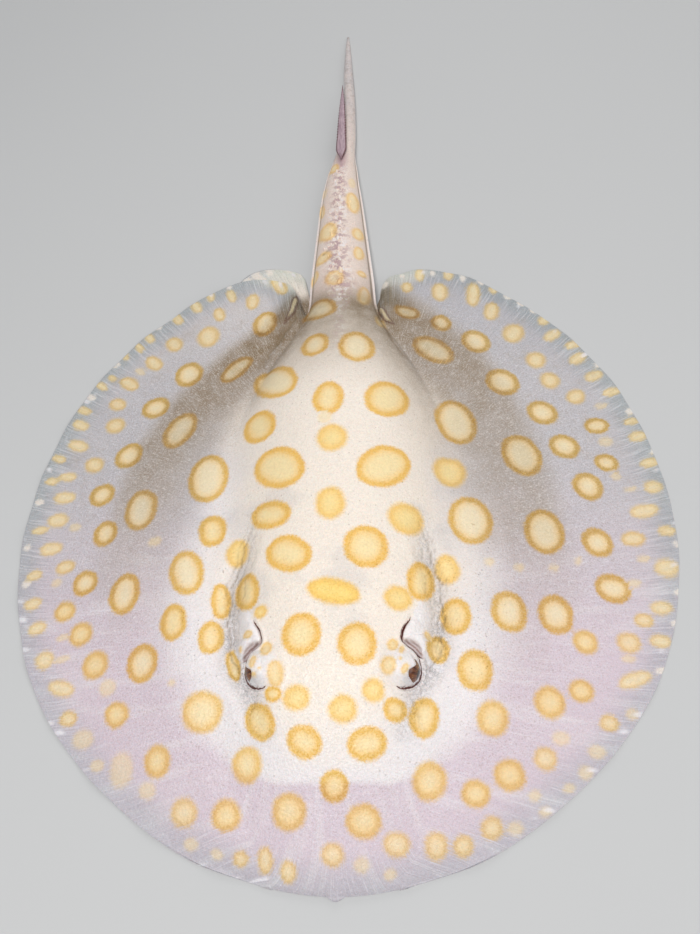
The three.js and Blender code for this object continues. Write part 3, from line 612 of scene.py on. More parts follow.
def markings(x, y, rays, t, out, above, rows_by_kind, margin):
    """Four numbers for each point under each name, for the skin's shader to draw."""
    edge, (ring, yellow, strength) = nearest_spot(x, y, rows_by_kind)
    pale = np.abs(x) / np.maximum(curve(PALE_AREA, y), 0.1)
    pale = np.maximum(pale, 1.9 * step(-88, -108, y))
    # Brown over the rear of the trunk and the slopes beside it: partly skin colour, partly painted shade.
    shade = 0.6 * step(38, 94, y) * (1 - step(104, 124, y)) * (1 - step(0.8, 1.3, pale))
    for points, width, rear, front in SLOPES:
        away, along = beside(points, x, y)
        fades = (rear + (front - rear) * along) * (1 - step(0.8, 1.0, along) * 0.5)
        outwards = away * np.sign(x) > 0
        across = np.where(outwards, 1 - step(0.35, 1, np.abs(away) / width), bump(away, 2.3 * width))
        shade = np.maximum(shade, fades * across)
    # The trough beside the skull, where the shader paints grey shade, dark creases and pale wrinkles.
    hollow = bump(beside(TROUGH, np.abs(x), y)[0] + 0.5, 6.0) * (0.42 + 0.58 * bump(y + 58, 24))
    away, ends, width, along = spiracle_place(x, y)
    far, outside, outward, forward = eye_place(x, y)
    left_line = 0.4 + 0.6 * bump(along - 0.36, 0.22) + 0.35 * bump(along - 0.86, 0.1)
    right_line = 0.4 + 0.35 * bump(along - 0.7, 0.18)
    slit_line = ends * np.where(x > 0, left_line, right_line) * (np.abs(away) < 9)
    lid_line = step(-0.15, 0.25, outward) * (0.35 + 0.65 * step(0.2, 0.6, forward)) * (far < 9)
    # The spiracle's opening, where the shader paints its mauve-brown lining, partly painted shade.
    lining = step(0, 0.3, away) * (1 - step(0.45, 1.15, away / width)) * ends
    lining = lining * (0.3 + 0.7 * step(0.4, 0.6, along))
    sheath = bump(np.hypot(x + 1.8, (y - 203) / 3), 4.6) * step(184, 190, y)
    from_fold = np.full(np.shape(x), 10.0)
    for points in ROOT_FOLDS:
        beyond, reached = beside(points, x, y)
        faded = step(0.45, 1, reached) + 0.5 * step(0.15, 0, reached)
        from_fold = np.minimum(from_fold, np.abs(beyond) + 2 * faded)
    flap = step(0.6, 1.2, away / width) * (1 - step(5.0, 8.0, away))
    dome = (far < EYE_RADIUS + 0.3) * (1 - step(3.6, 6.0, far) * 0.4)
    on_tail = step(98, 114, y) * (out == 0)
    side_line = bump(np.abs(t) - 0.885, 0.05) * step(101, 110, y) * (1 - step(196, 210, y)) * (out == 0)
    side_fold = step(0.91, 0.95, np.abs(t)) * step(101, 110, y) * (out == 0)
    values = {
        "marks": (0.05 * edge, ring, yellow, strength * above),
        "zones": (0.01 * margin, 0.5 * np.minimum(pale, 1.9), shade * above, 0.01 * rays),
        "accents": (side_line, lining * above, folds(x, y)[1] * above, 1 - above),
        "lines": (np.clip(0.1 * away, -1, 1), slit_line * above, np.clip(0.05 * far, 0, 1), lid_line * above),
        "flesh": (np.maximum(flap, 0.8 * dome) * above, tail_band(x, y), side_fold, hollow * above),
        # The front of each eye's dome, where the shader paints blue-grey shade.
        "areas": (on_tail, dome * bump(np.hypot(np.abs(x) - 26.5, y + 69.5), 5.5), sheath, 0.1 * from_fold),
    }
    return {
        name: np.stack([np.broadcast_to(value, np.shape(x)) for value in rows], 1)
        for name, rows in values.items()
    }


def store(mesh, values):
    for name, rows in values.items():
        layer = mesh.attributes.new(name, "FLOAT_COLOR", "POINT")
        layer.data.foreach_set("color", rows.astype(np.float32).ravel())


# ---------------------------------------------------------------- making meshes

def slab(columns, rows):
    """A flat grid in plain numbers: column along X, row along Y."""
    bm = bmesh.new()
    bmesh.ops.create_grid(bm, x_segments=columns, y_segments=rows, size=0.5)
    size = Matrix.Diagonal((columns, rows, 1, 1)) @ Matrix.Translation((0.5, 0.5, 0))
    bmesh.ops.transform(bm, matrix=size, verts=bm.verts)
    return bm


def close_slab(bm):
    """Gives the grid an underside at 0, a top at 1 and walls with an edge half way up."""
    made = bmesh.ops.extrude_face_region(bm, geom=bm.faces[:], use_keep_orig=True)
    raised = [item for item in made["geom"] if isinstance(item, bmesh.types.BMVert)]
    bmesh.ops.translate(bm, vec=(0, 0, 1), verts=raised)
    upright = [e for e in bm.edges if abs(e.verts[0].co.z - e.verts[1].co.z) > 0.5]
    bmesh.ops.subdivide_edges(bm, edges=upright, cuts=1)


def divide(bm, wanted):
    """Cuts the wanted faces into four."""
    edges = set()
    for face in bm.faces:
        if wanted(face.calc_center_median()):
            edges.update(face.edges)
    bmesh.ops.subdivide_edges(bm, edges=list(edges), cuts=1, use_grid_fill=True)


def grid_places(bm):
    places = np.array([v.co for v in bm.verts])
    return np.round(places[:, 0], 4), np.round(places[:, 1], 4), np.round(places[:, 2], 3)


def move_to(bm, x, y, z):
    for v, place in zip(bm.verts, np.stack((x, y, z), 1) * MM):
        v.co = place


def finished(bm, name, material, smooth=True):
    """A new object at the origin, with its faces outwards."""
    bmesh.ops.recalc_face_normals(bm, faces=bm.faces)
    mesh = bpy.data.meshes.new(name)
    bm.to_mesh(mesh)
    bm.free()
    mesh.materials.append(material)
    mesh.polygons.foreach_set("use_smooth", [smooth] * len(mesh.polygons))
    made = bpy.data.objects.new(name, mesh)
    bpy.context.scene.collection.objects.link(made)
    return made


# ---------------------------------------------------------------- materials

class Graph:
    """Short calls for building a node tree."""

    def __init__(self, tree):
        self.tree = tree

    def node(self, kind, inputs=None, **settings):
        made = self.tree.nodes.new(kind)
        for name, value in settings.items():
            setattr(made, name, value)
        for key, value in (inputs or {}).items():
            self.feed(made.inputs[key], value)
        return made

    def feed(self, socket, value):
        if isinstance(value, bpy.types.NodeSocket):
            self.tree.links.new(value, socket)
        elif socket.type == "RGBA" and len(value) == 3:
            socket.default_value = (*value, 1)
        else:
            socket.default_value = value

    def math(self, operation, first, second=0.0, clamp=False):
        made = self.node("ShaderNodeMath", {0: first, 1: second}, operation=operation, use_clamp=clamp)
        return made.outputs[0]

    def times(self, *factors):
        product = factors[0]
        for factor in factors[1:]:
            product = self.math("MULTIPLY", product, factor)
        return product

    def plus(self, *terms):
        total = terms[0]
        for term in terms[1:]:
            total = self.math("ADD", total, term)
        return total

    def rise(self, value, low, high, to_low=0.0, to_high=1.0):
        """Rises smoothly between two values of its input."""
        inputs = {"Value": value, "From Min": low, "From Max": high, "To Min": to_low, "To Max": to_high}
        return self.node("ShaderNodeMapRange", inputs, interpolation_type="SMOOTHSTEP").outputs[0]

    def mix(self, share, first, second, blend="MIX"):
        made = self.node("ShaderNodeMix", data_type="RGBA", blend_type=blend, clamp_factor=True)
        for key, value in ((0, share), (6, first), (7, second)):
            self.feed(made.inputs[key], value)
        return made.outputs[2]

    def speckle(self, place, size, detail=2.0, rough=0.5):
        inputs = {"Vector": place, "Scale": 1 / size, "Detail": detail, "Roughness": rough}
        return self.node("ShaderNodeTexNoise", inputs).outputs["Fac"]

    def dots(self, place, size):
        inputs = {"Vector": place, "Scale": 1 / size}
        return self.node("ShaderNodeTexVoronoi", inputs).outputs

    def attribute(self, name):
        made = self.node("ShaderNodeAttribute", attribute_name=name)
        parts = self.node("ShaderNodeSeparateXYZ", {0: made.outputs["Vector"]})
        return (*parts.outputs, made.outputs["Alpha"])

    def place(self, *scale):
        """The place on the model, in metres times the scale along each axis."""
        metres = self.node("ShaderNodeTexCoord").outputs["Object"]
        return self.node("ShaderNodeMapping", {"Vector": metres, "Scale": scale}).outputs[0]


def new_material(name):
    """A material, its graph and its main shader."""
    material = bpy.data.materials.new(name)
    material.use_nodes = True
    return material, Graph(material.node_tree), material.node_tree.nodes["Principled BSDF"]


SKIN_TONES = (
    "Cream", "White", "Lilac", "Grey", "Margin", "Dusk", "Shade", "Ring", "Stain", "Yellow",
    "Centre", "Rim", "Lining", "Flap", "Tail", "Sheath", "Under",
)


def skin_group():
    """Ring spots, tones and grain of the skin: colour, roughness and height."""
    tree = bpy.data.node_groups.new("ring-spotted skin", "ShaderNodeTree")
    for name in SKIN_TONES:
        tree.interface.new_socket(name=name, in_out="INPUT", socket_type="NodeSocketColor")
    for name in ("Grain", "Light"):
        tree.interface.new_socket(name=name, in_out="INPUT", socket_type="NodeSocketFloat")
    tree.interface.new_socket(name="Colour", in_out="OUTPUT", socket_type="NodeSocketColor")
    for name in ("Roughness", "Height"):
        tree.interface.new_socket(name=name, in_out="OUTPUT", socket_type="NodeSocketFloat")
    g = Graph(tree)
    given = g.node("NodeGroupInput").outputs
    place = g.place(1000, 1000, 1000)
    edge, ring, yellow, strength = g.attribute("marks")
    margin, pale, shade, rays = g.attribute("zones")
    side_line, lining, fold_shade, below = g.attribute("accents")
    slit, slit_line, eye, lid_line = g.attribute("lines")
    flap, band, side_fold, hollow = g.attribute("flesh")
    on_tail, dome_shade, sheath, root_fold = g.attribute("areas")
    edge = g.times(edge, 20)
    margin = g.times(margin, 100)
    rays = g.times(rays, 100)
    pale = g.times(pale, 2)
    along_x, along_y, _ = g.node("ShaderNodeSeparateXYZ", {0: place}).outputs
    cloud = g.plus(g.speckle(place, 22, 3), -0.5)
    grain = g.plus(g.speckle(place, 0.9, 3, 0.65), -0.5)

    # Tone of the skin: cream in the middle with a white border, lilac in front, grey behind; its
    # darkening outwards is partly painted shade of the light's falloff.
    broad = g.node("ShaderNodeCombineXYZ", {0: g.times(rays, 0.11), 1: g.times(margin, 0.03)})
    fan = g.speckle(broad.outputs[0], 1.0, 3, 0.55)
    forward = g.rise(g.plus(along_y, g.times(cloud, 40)), 34, -70)
    tone = g.mix(forward, given["Grey"], given["Lilac"])
    fanned = g.times(g.rise(fan, 0.46, 0.7), g.rise(along_y, 20, -50, 0.08, 0.34))
    tone = g.mix(fanned, tone, given["White"])
    blurred = g.plus(pale, g.times(cloud, 0.35))
    border = g.times(g.rise(blurred, 1.3, 0.85), g.rise(along_y, 50, 0, 0.35, 0.95))
    tone = g.mix(border, tone, given["White"])
    drawn_in = g.plus(g.rise(along_y, -30, -62, 0, 0.28), g.rise(along_y, 5, 60, 0, -0.5))
    creamy = g.rise(g.plus(blurred, drawn_in), 1.06, 0.5)
    tone = g.mix(creamy, tone, given["Cream"])
    crown = g.times(g.rise(cloud, 0, 0.16), g.rise(along_y, -68, -44), g.rise(along_y, 24, 0), 0.28)
    tone = g.mix(g.times(crown, g.rise(pale, 1.2, 0.9)), tone, given["Grey"])
    ahead = g.times(g.rise(along_y, -72, -96), g.rise(blurred, 1.3, 0.8), 0.6)
    tone = g.mix(ahead, tone, given["White"])
    corner = g.times(g.rise(along_y, 55, 115), g.rise(on_tail, 1, 0))
    left_side = g.rise(along_x, -15, 15)
    tone = g.mix(g.times(corner, left_side, 0.3), tone, given["Dusk"])
    right_side = g.times(g.rise(along_x, 15, -15), g.rise(margin, 5, 18))
    tone = g.mix(g.times(corner, right_side, 0.2), tone, given["Cream"])
    mottle = g.speckle(place, 7, 4, 0.65)
    # Brown of the rear slopes, partly painted shade, warmed with cream and broken by mottling.
    shaded = g.math("MULTIPLY", shade, g.rise(mottle, 0.2, 0.75, 0.72, 1.1), clamp=True)
    dusk = g.times(g.rise(mottle, 0.5, 0.72), g.rise(pale, 0.9, 1.4), g.rise(along_y, -70, 40), 0.16)
    shaded = g.math("MAXIMUM", shaded, dusk)
    tone = g.mix(g.times(shaded, 0.45), tone, given["Cream"])
    tone = g.mix(g.math("MULTIPLY", shaded, 1.16, clamp=True), tone, given["Shade"])
    # Grey painted shade in the troughs beside the skull, and in their crinkled skin pale wrinkles and dark
    # creases of painted shade.
    tone = g.mix(g.times(hollow, 0.42), tone, given["Grey"])
    crinkle = g.speckle(place, 1.5, 3, 0.65)
    crease = g.times(g.rise(g.math("ABSOLUTE", g.plus(crinkle, -0.5)), 0.035, 0.0), hollow)
    tone = g.mix(g.times(g.rise(crinkle, 0.53, 0.62), hollow, 0.75), tone, given["Flap"])
    tone = g.mix(g.times(crease, 0.8), tone, given["Dusk"])
    near_rim = g.rise(g.plus(margin, g.times(cloud, 6)), 14, 0.5)
    tone = g.mix(near_rim, tone, g.mix(1.0, tone, given["Margin"], "MULTIPLY"))

    # The tail: pinkish, with small mauve-brown blotches along its knobs, partly painted shade between
    # them.
    blotched = g.speckle(place, 2.9, 3, 0.6)
    tone = g.mix(g.times(on_tail, g.rise(mottle, 0.3, 0.7, 0.7, 0.92)), tone, given["Tail"])
    # Pale patches among the knobs, partly painted highlight on them.
    tone = g.mix(g.times(band, g.rise(blotched, 0.47, 0.38), 0.65), tone, given["Flap"])
    tone = g.mix(g.times(band, g.rise(blotched, 0.5, 0.58), 0.75), tone, given["Sheath"])
    tone = g.mix(g.times(side_fold, 0.45), tone, given["Flap"])
    tip = g.times(g.rise(g.plus(along_y, g.times(cloud, 30)), 196, 262), g.rise(mottle, 0.3, 0.7, 0.6, 1))
    tone = g.mix(g.times(tip, 0.8), tone, given["Grey"])
    tone = g.mix(g.times(tip, g.rise(blotched, 0.5, 0.62), 0.3), tone, given["Shade"])

    # Fin rays near the rim, rows of pale grains inside them, and grains all over.
    sway = g.times(g.plus(g.speckle(place, 8, 2), -0.5), 1.6)
    swayed = g.plus(rays, sway)
    along_ray = g.node("ShaderNodeCombineXYZ", {0: g.times(swayed, 1.7), 1: g.times(margin, 0.07)})
    streak = g.speckle(along_ray.outputs[0], 1.0, 2, 0.6)
    dark_ray = g.times(g.rise(streak, 0.5, 0.32), g.rise(margin, 26, 4), g.rise(along_y, -110, 0, 0.35, 1))
    pale_ray = g.times(g.rise(streak, 0.5, 0.68), g.rise(margin, 30, 4))
    far_ray = g.node("ShaderNodeCombineXYZ", {0: g.times(swayed, 0.55), 1: g.times(margin, 0.02)})
    long_ray = g.rise(g.speckle(far_ray.outputs[0], 1.0, 2, 0.7), 0.6, 0.72)
    long_ray = g.times(long_ray, g.rise(margin, 8, 24), g.rise(margin, 76, 50), g.rise(along_y, 10, -40))
    along_row = g.node("ShaderNodeCombineXYZ", {0: g.times(swayed, 1.5), 1: g.times(margin, 0.3)})
    row = g.speckle(along_row.outputs[0], 1.0, 2, 0.6)
    rows = g.times(g.rise(row, 0.54, 0.68), g.rise(margin, 10, 26), g.rise(margin, 84, 56))
    fine = g.speckle(place, 0.58, 2, 0.6)
    prickle = g.rise(fine, 0.53, 0.66)
    gap = g.rise(fine, 0.48, 0.34)
    outside = g.times(g.rise(pale, 0.7, 1.2), g.rise(margin, 6, 26))
    speckled = g.plus(0.17, g.times(outside, 0.2))
    pale_grain = g.mix(shaded, given["Flap"], given["Cream"])
    tone = g.mix(g.times(prickle, speckled), tone, pale_grain)
    tone = g.mix(g.times(gap, speckled, 0.8), tone, given["Shade"])
    tone = g.mix(g.times(rows, g.plus(0.28, g.times(shaded, 0.12))), tone, pale_grain)
    tone = g.mix(g.times(dark_ray, 0.26), tone, given["Dusk"])
    tone = g.mix(g.times(pale_ray, 0.3), tone, given["Flap"])
    tone = g.mix(g.times(long_ray, 0.32), tone, given["Flap"])
    pores = g.dots(place, 1.9)
    pored = g.node("ShaderNodeSeparateXYZ", {0: pores["Color"]}).outputs[0]
    pore = g.times(g.rise(pores["Distance"], 0.22, 0.1), g.rise(pored, 0.6, 0.8), g.rise(pale, 1.2, 0.9))
    tone = g.mix(g.times(pore, 0.3), tone, given["Shade"])
    tone = g.mix(g.times(flap, 0.6), tone, given["Flap"])
    # Blue-grey painted shade on the front and outer side of each eye's dome.
    tone = g.mix(g.times(dome_shade, 0.5), tone, given["Dusk"])
    tone = g.mix(g.times(sheath, 0.85), tone, given["Sheath"])

    # The ring spots: a pale filling, a stain towards the edge and a golden ring in the skin's tone.
    ragged = g.times(g.plus(g.speckle(place, 0.7, 2, 0.7), -0.5), 1.9)
    drift = g.times(g.plus(g.speckle(place, 4.5, 2), -0.5), 1.3)
    away = g.plus(edge, ragged, drift, g.times(g.plus(streak, -0.5), g.rise(margin, 24, 6), 3.0))
    bleached = g.times(yellow, -1)
    inside = g.rise(away, 0.9, g.plus(-2.6, g.times(ring, 1.9), g.math("MAXIMUM", g.times(bleached, 2), 0)))
    fill = g.mix(yellow, given["Centre"], given["Yellow"])
    # Within the painted shade the spots' filling takes more of the darker skin.
    fill = g.mix(g.plus(g.rise(yellow, 0.6, 1, 0.3, 0.12), g.times(shaded, 0.4)), fill, tone)
    fill = g.mix(bleached, fill, given["Flap"])
    stained = g.mix(1.0, fill, given["Stain"], "MULTIPLY")
    fill = g.mix(g.times(g.rise(away, -5.5, -2.0), g.rise(ring, 0, 0.8, 0.3, 1)), fill, stained)
    golden = g.mix(1.0, tone, given["Ring"], "MULTIPLY")
    banded = g.times(g.rise(away, -3.1, -1.3), ring, g.rise(fine, 0.36, 0.56, 0.5, 1.0))
    spot = g.mix(banded, fill, golden)
    tone = g.mix(g.times(inside, strength), tone, spot)

    # White flecks at the very rim.
    fleck_at = g.node("ShaderNodeCombineXYZ", {0: g.times(rays, 0.24), 1: g.times(margin, 0.1)})
    flecks = g.dots(fleck_at.outputs[0], 1.0)
    picked = g.node("ShaderNodeSeparateXYZ", {0: flecks["Color"]}).outputs[0]
    fleck = g.times(g.rise(flecks["Distance"], 0.4, 0.16), g.rise(picked, 0.35, 0.45), g.rise(margin, 4.5, 2))
    edge_line = g.rise(margin, 0.9, 0.2)
    tone = g.mix(g.times(g.math("MAXIMUM", fleck, g.times(edge_line, 0.3)), 0.7), tone, given["Flap"])

    # Lids, the spiracles' lining and the folds, with painted shade in the folds, the openings and round
    # the lids.
    # Mauve-brown lining of the spiracles, partly painted shade in the openings, with pale and dark strands.
    tone = g.mix(g.times(lining, 0.8), tone, given["Lining"])
    strand = g.math("SINE", g.plus(g.times(slit, 62), g.times(crinkle, 5)))
    tone = g.mix(g.times(lining, g.rise(strand, 0.1, 0.9), 0.45), tone, given["Flap"])
    tone = g.mix(g.times(lining, g.rise(strand, -0.3, -0.95), 0.35), tone, given["Rim"])
    # Darkness of the skin folds: painted shade.
    tone = g.mix(g.math("MULTIPLY", fold_shade, 0.74, clamp=True), tone, given["Shade"])
    # A dark line along the crease inside each side fold of the tail: painted shade.
    tone = g.mix(g.times(side_line, 0.75), tone, given["Shade"])
    # Root folds: a pale ochre top, partly painted highlight, and a dark line of painted shade on each side.
    from_ridge = g.times(root_fold, 10)
    tone = g.mix(g.rise(from_ridge, 1.0, 0.3, 0, 0.45), tone, given["Centre"])
    ridge_side_shade = g.rise(g.math("ABSOLUTE", g.plus(from_ridge, -1.3)), 0.5, 0.1, 0, 0.45)
    tone = g.mix(ridge_side_shade, tone, given["Rim"])
    worn = g.plus(g.speckle(place, 1.6, 2, 0.6), -0.5)
    # Dark line round the lid's edge: the lid's dark rim, partly painted shadow cast by the eye's dome.
    from_lid = g.math("ABSOLUTE", g.plus(g.times(eye, 20), g.times(worn, 0.9), -6.35))
    from_edge = g.math("ABSOLUTE", g.plus(g.times(eye, 20), -5.8))
    tone = g.mix(g.times(g.rise(from_edge, 0.4, 0.1), lid_line, 0.6), tone, given["Flap"])
    lid_width = g.math("MAXIMUM", g.plus(0.14, g.times(lid_line, 0.24), g.times(worn, 0.5)), 0.1)
    on_lid = g.times(g.rise(from_lid, lid_width, 0.06), g.rise(lid_line, 0, 0.3))
    # Dark maroon line along the slit's inner edge, partly painted shade in the opening.
    from_slit = g.math("ABSOLUTE", g.plus(g.times(slit, 10), g.times(worn, 0.8), -0.12))
    slit_width = g.math("MAXIMUM", g.plus(0.12, g.times(slit_line, 0.5), g.times(worn, 0.5)), 0.1)
    on_slit = g.rise(from_slit, slit_width, g.times(slit_line, 0.2))
    on_slit = g.times(on_slit, g.rise(slit_line, 0.02, 0.3))
    tone = g.mix(g.math("MAXIMUM", on_lid, on_slit), tone, given["Rim"])
    tone = g.mix(below, tone, g.mix(g.times(near_rim, 0.6), given["Under"], given["Grey"]))
    # The Light input scales the whole colour: a lighter copy for the thorns is painted light, a darker one
    # for the prickles painted shade.
    light = g.times(given["Light"], g.plus(1.0, g.times(grain, 0.26)))
    lit = g.node("ShaderNodeVectorMath", {0: tone}, operation="SCALE")
    g.feed(lit.inputs["Scale"], light)

    cells = g.dots(place, 1.15)
    pits = g.times(g.plus(0.6, g.times(cells["Distance"], -1)), 0.6)
    height = g.times(g.plus(pits, g.times(grain, 0.8), g.times(prickle, 0.5)), given["Grain"])
    height = g.plus(height, g.times(dark_ray, -0.5), g.times(pale_ray, 0.3), g.times(crease, -0.7))
    wet = g.rise(g.speckle(place, 3, 3), 0.3, 0.75, 0.34, 0.55)
    out = g.node("NodeGroupOutput").inputs
    g.feed(out["Colour"], lit.outputs[0])
    g.feed(out["Roughness"], wet)
    g.feed(out["Height"], height)
    return tree


def skin_material(colours, name, grain=1.0, light=1.0):
    """The skin's finish, also worn by the prickles and thorns that grow from it."""
    tree = bpy.data.node_groups.get("ring-spotted skin") or skin_group()
    material, g, shader = new_material(name)
    group = g.node("ShaderNodeGroup", node_tree=tree)
    for tone in SKIN_TONES:
        group.inputs[tone].default_value = (*getattr(colours, tone.lower()), 1)
    group.inputs["Grain"].default_value = grain
    # Light: the brightness of this copy of the skin; above 1 it is painted light, below 1 painted shade.
    group.inputs["Light"].default_value = light
    relief = g.node("ShaderNodeBump", {"Height": group.outputs["Height"]})
    relief.inputs["Strength"].default_value = 0.6
    relief.inputs["Distance"].default_value = 0.35 * MM
    g.feed(shader.inputs["Base Color"], group.outputs["Colour"])
    g.feed(shader.inputs["Roughness"], group.outputs["Roughness"])
    g.feed(shader.inputs["Normal"], relief.outputs[0])
    shader.inputs["Subsurface Weight"].default_value = 0.1
    shader.inputs["Subsurface Radius"].default_value = (1.0, 0.55, 0.4)
    shader.inputs["Subsurface Scale"].default_value = 1.2 * MM
    shader.inputs["Specular IOR Level"].default_value = 0.4
    return material


def eye_material(colours):
    """A dark pupil in a brown iris, wet all over."""
    material, g, shader = new_material("ray eye")
    place = g.place(1000, 1000, 1000)
    look, around, _, _ = g.attribute("look")
    fibres = g.node("ShaderNodeCombineXYZ", {0: g.times(around, 9), 1: look})
    fibre = g.speckle(fibres.outputs[0], 0.33, 4)
    iris = g.mix(g.rise(fibre, 0.3, 0.7), colours.iris_dark, colours.iris)
    fleck = g.rise(g.speckle(place, 0.7, 2), 0.6, 0.75)
    iris = g.mix(g.times(fleck, 0.4), iris, colours.yellow)
    ball = g.mix(g.rise(look, 0.44, 0.52), iris, colours.iris_dark)
    pupil = g.rise(look, 0.13, 0.105)
    g.feed(shader.inputs["Base Color"], g.mix(pupil, ball, (0.006, 0.004, 0.004)))
    g.feed(shader.inputs["Roughness"], g.rise(fibre, 0.2, 0.8, 0.15, 0.3))
    shader.inputs["Coat Weight"].default_value = 0.25
    shader.inputs["Coat Roughness"].default_value = 0.04
    return material


def sting_material(colours):
    """Grey-mauve dentine with a dark maroon edge and tip."""
    material, g, shader = new_material("ray sting")
    long_way = g.place(1000, 120, 1000)
    along, edge, _, _ = g.attribute("blade")
    grain = g.speckle(long_way, 0.5, 4, 0.6)
    bone = g.mix(g.rise(grain, 0.3, 0.7), colours.sting, colours.sting_light)
    dark = g.math("MAXIMUM", g.rise(edge, 0.6, 0.95), g.rise(along, 0.8, 1.0))
    dark = g.math("MAXIMUM", dark, g.rise(along, 0.1, 0.0, 0.0, 0.7))
    g.feed(shader.inputs["Base Color"], g.mix(g.times(dark, 0.75), bone, colours.rim))
    g.feed(shader.inputs["Roughness"], g.rise(grain, 0.2, 0.8, 0.3, 0.55))
    relief = g.node("ShaderNodeBump", {"Height": grain})
    relief.inputs["Strength"].default_value = 0.5
    relief.inputs["Distance"].default_value = 0.2 * MM
    g.feed(shader.inputs["Normal"], relief.outputs[0])
    return material


def floor_material(colours):
    material, g, shader = new_material("pale floor")
    haze = g.speckle(g.node("ShaderNodeTexCoord").outputs["Object"], 0.3, 2)
    g.feed(shader.inputs["Base Color"], g.mix(haze, colours.floor, [0.95 * c for c in colours.floor]))
    shader.inputs["Roughness"].default_value = 0.75
    return material


# ---------------------------------------------------------------- properties

def length_value(name, millimetres, text):
    return bpy.props.FloatProperty(
        name=name, description=text, default=millimetres * MM, min=0, subtype="DISTANCE", unit="LENGTH")


def colour_value(name, value, text):
    return bpy.props.FloatVectorProperty(
        name=name, description=text, default=value, size=3, min=0, max=1, subtype="COLOR")


class RaySizes(bpy.types.PropertyGroup):
    coat_depth: length_value("Coat depth", 0.3, "How far the skin lies inside the solids")
    fold_depth: length_value("Fold depth", 1.0, "Depth of the deepest skin folds")
    spiracle_depth: length_value("Spiracle depth", 2.8, "Depth of the openings behind the eyes")
    thorn_width: length_value("Thorn width", 2.4, "Width of the largest thorns of the tail")
    prickle_width: length_value("Prickle width", 0.46, "Width of the small prickles of the back")


class RayColours(bpy.types.PropertyGroup):
    cream: colour_value("Cream", (0.895, 0.795, 0.69), "Middle of the back and head")
    white: colour_value("White", (0.83, 0.775, 0.765), "Border of the pale area")
    lilac: colour_value("Lilac", (0.665, 0.55, 0.605), "Front of the disc")
    # Grey and Lilac are darker than the middle partly as painted shade of the light's falloff.
    grey: colour_value("Grey", (0.515, 0.487, 0.5), "Rear and sides of the disc")
    margin: colour_value("Margin tint", (0.75, 0.84, 0.83), "Tint of the thin rim of the disc")
    # Dusk also paints shade on the eyes' domes and in the creases of the troughs.
    dusk: colour_value("Dusk", (0.3, 0.31, 0.35), "Blue-grey between the fin rays")
    # Shade is the brown of the rear slopes, partly painted shade; it also darkens fold lines, grains and
    # pores.
    shade: colour_value("Shade", (0.225, 0.155, 0.085), "Brown slopes on the rear of the disc")
    ring: colour_value("Ring tint", (0.94, 0.62, 0.15), "Tint of the rings of the spots")
    stain: colour_value("Stain tint", (1.0, 0.88, 0.7), "Tint inside the rings")
    yellow: colour_value("Yellow", (0.935, 0.665, 0.15), "Spots of the head and back")
    centre: colour_value("Spot centre", (0.93, 0.775, 0.465), "Pale centres of the outer spots")
    # Rim also stands partly for painted shade in the spiracles and at the lids' edges.
    rim: colour_value("Rim", (0.085, 0.009, 0.005), "Dark rims of lids and spiracles")
    # Lining is partly painted shade in the spiracles' openings.
    lining: colour_value("Lining", (0.38, 0.24, 0.22), "Lining of the spiracles")
    flap: colour_value("Flap", (0.85, 0.82, 0.84), "Whitest skin: flaps, lids and flecks")
    tail: colour_value("Tail", (0.78, 0.63, 0.55), "Top of the tail")
    sheath: colour_value("Sheath", (0.42, 0.26, 0.29), "Blotches of the tail and skin round the sting")
    under: colour_value("Underside", (0.85, 0.78, 0.74), "Underside")
    iris: colour_value("Iris", (0.2, 0.065, 0.022), "Iris")
    iris_dark: colour_value("Dark iris", (0.06, 0.017, 0.008), "Edge of the iris and back of the eye")
    sting: colour_value("Sting", (0.3, 0.19, 0.23), "Sting, darker grain")
    sting_light: colour_value("Light sting", (0.5, 0.37, 0.4), "Sting, lighter grain")
    floor: colour_value("Floor", (0.55, 0.55, 0.545), "Floor of the studio")


# ---------------------------------------------------------------- operators

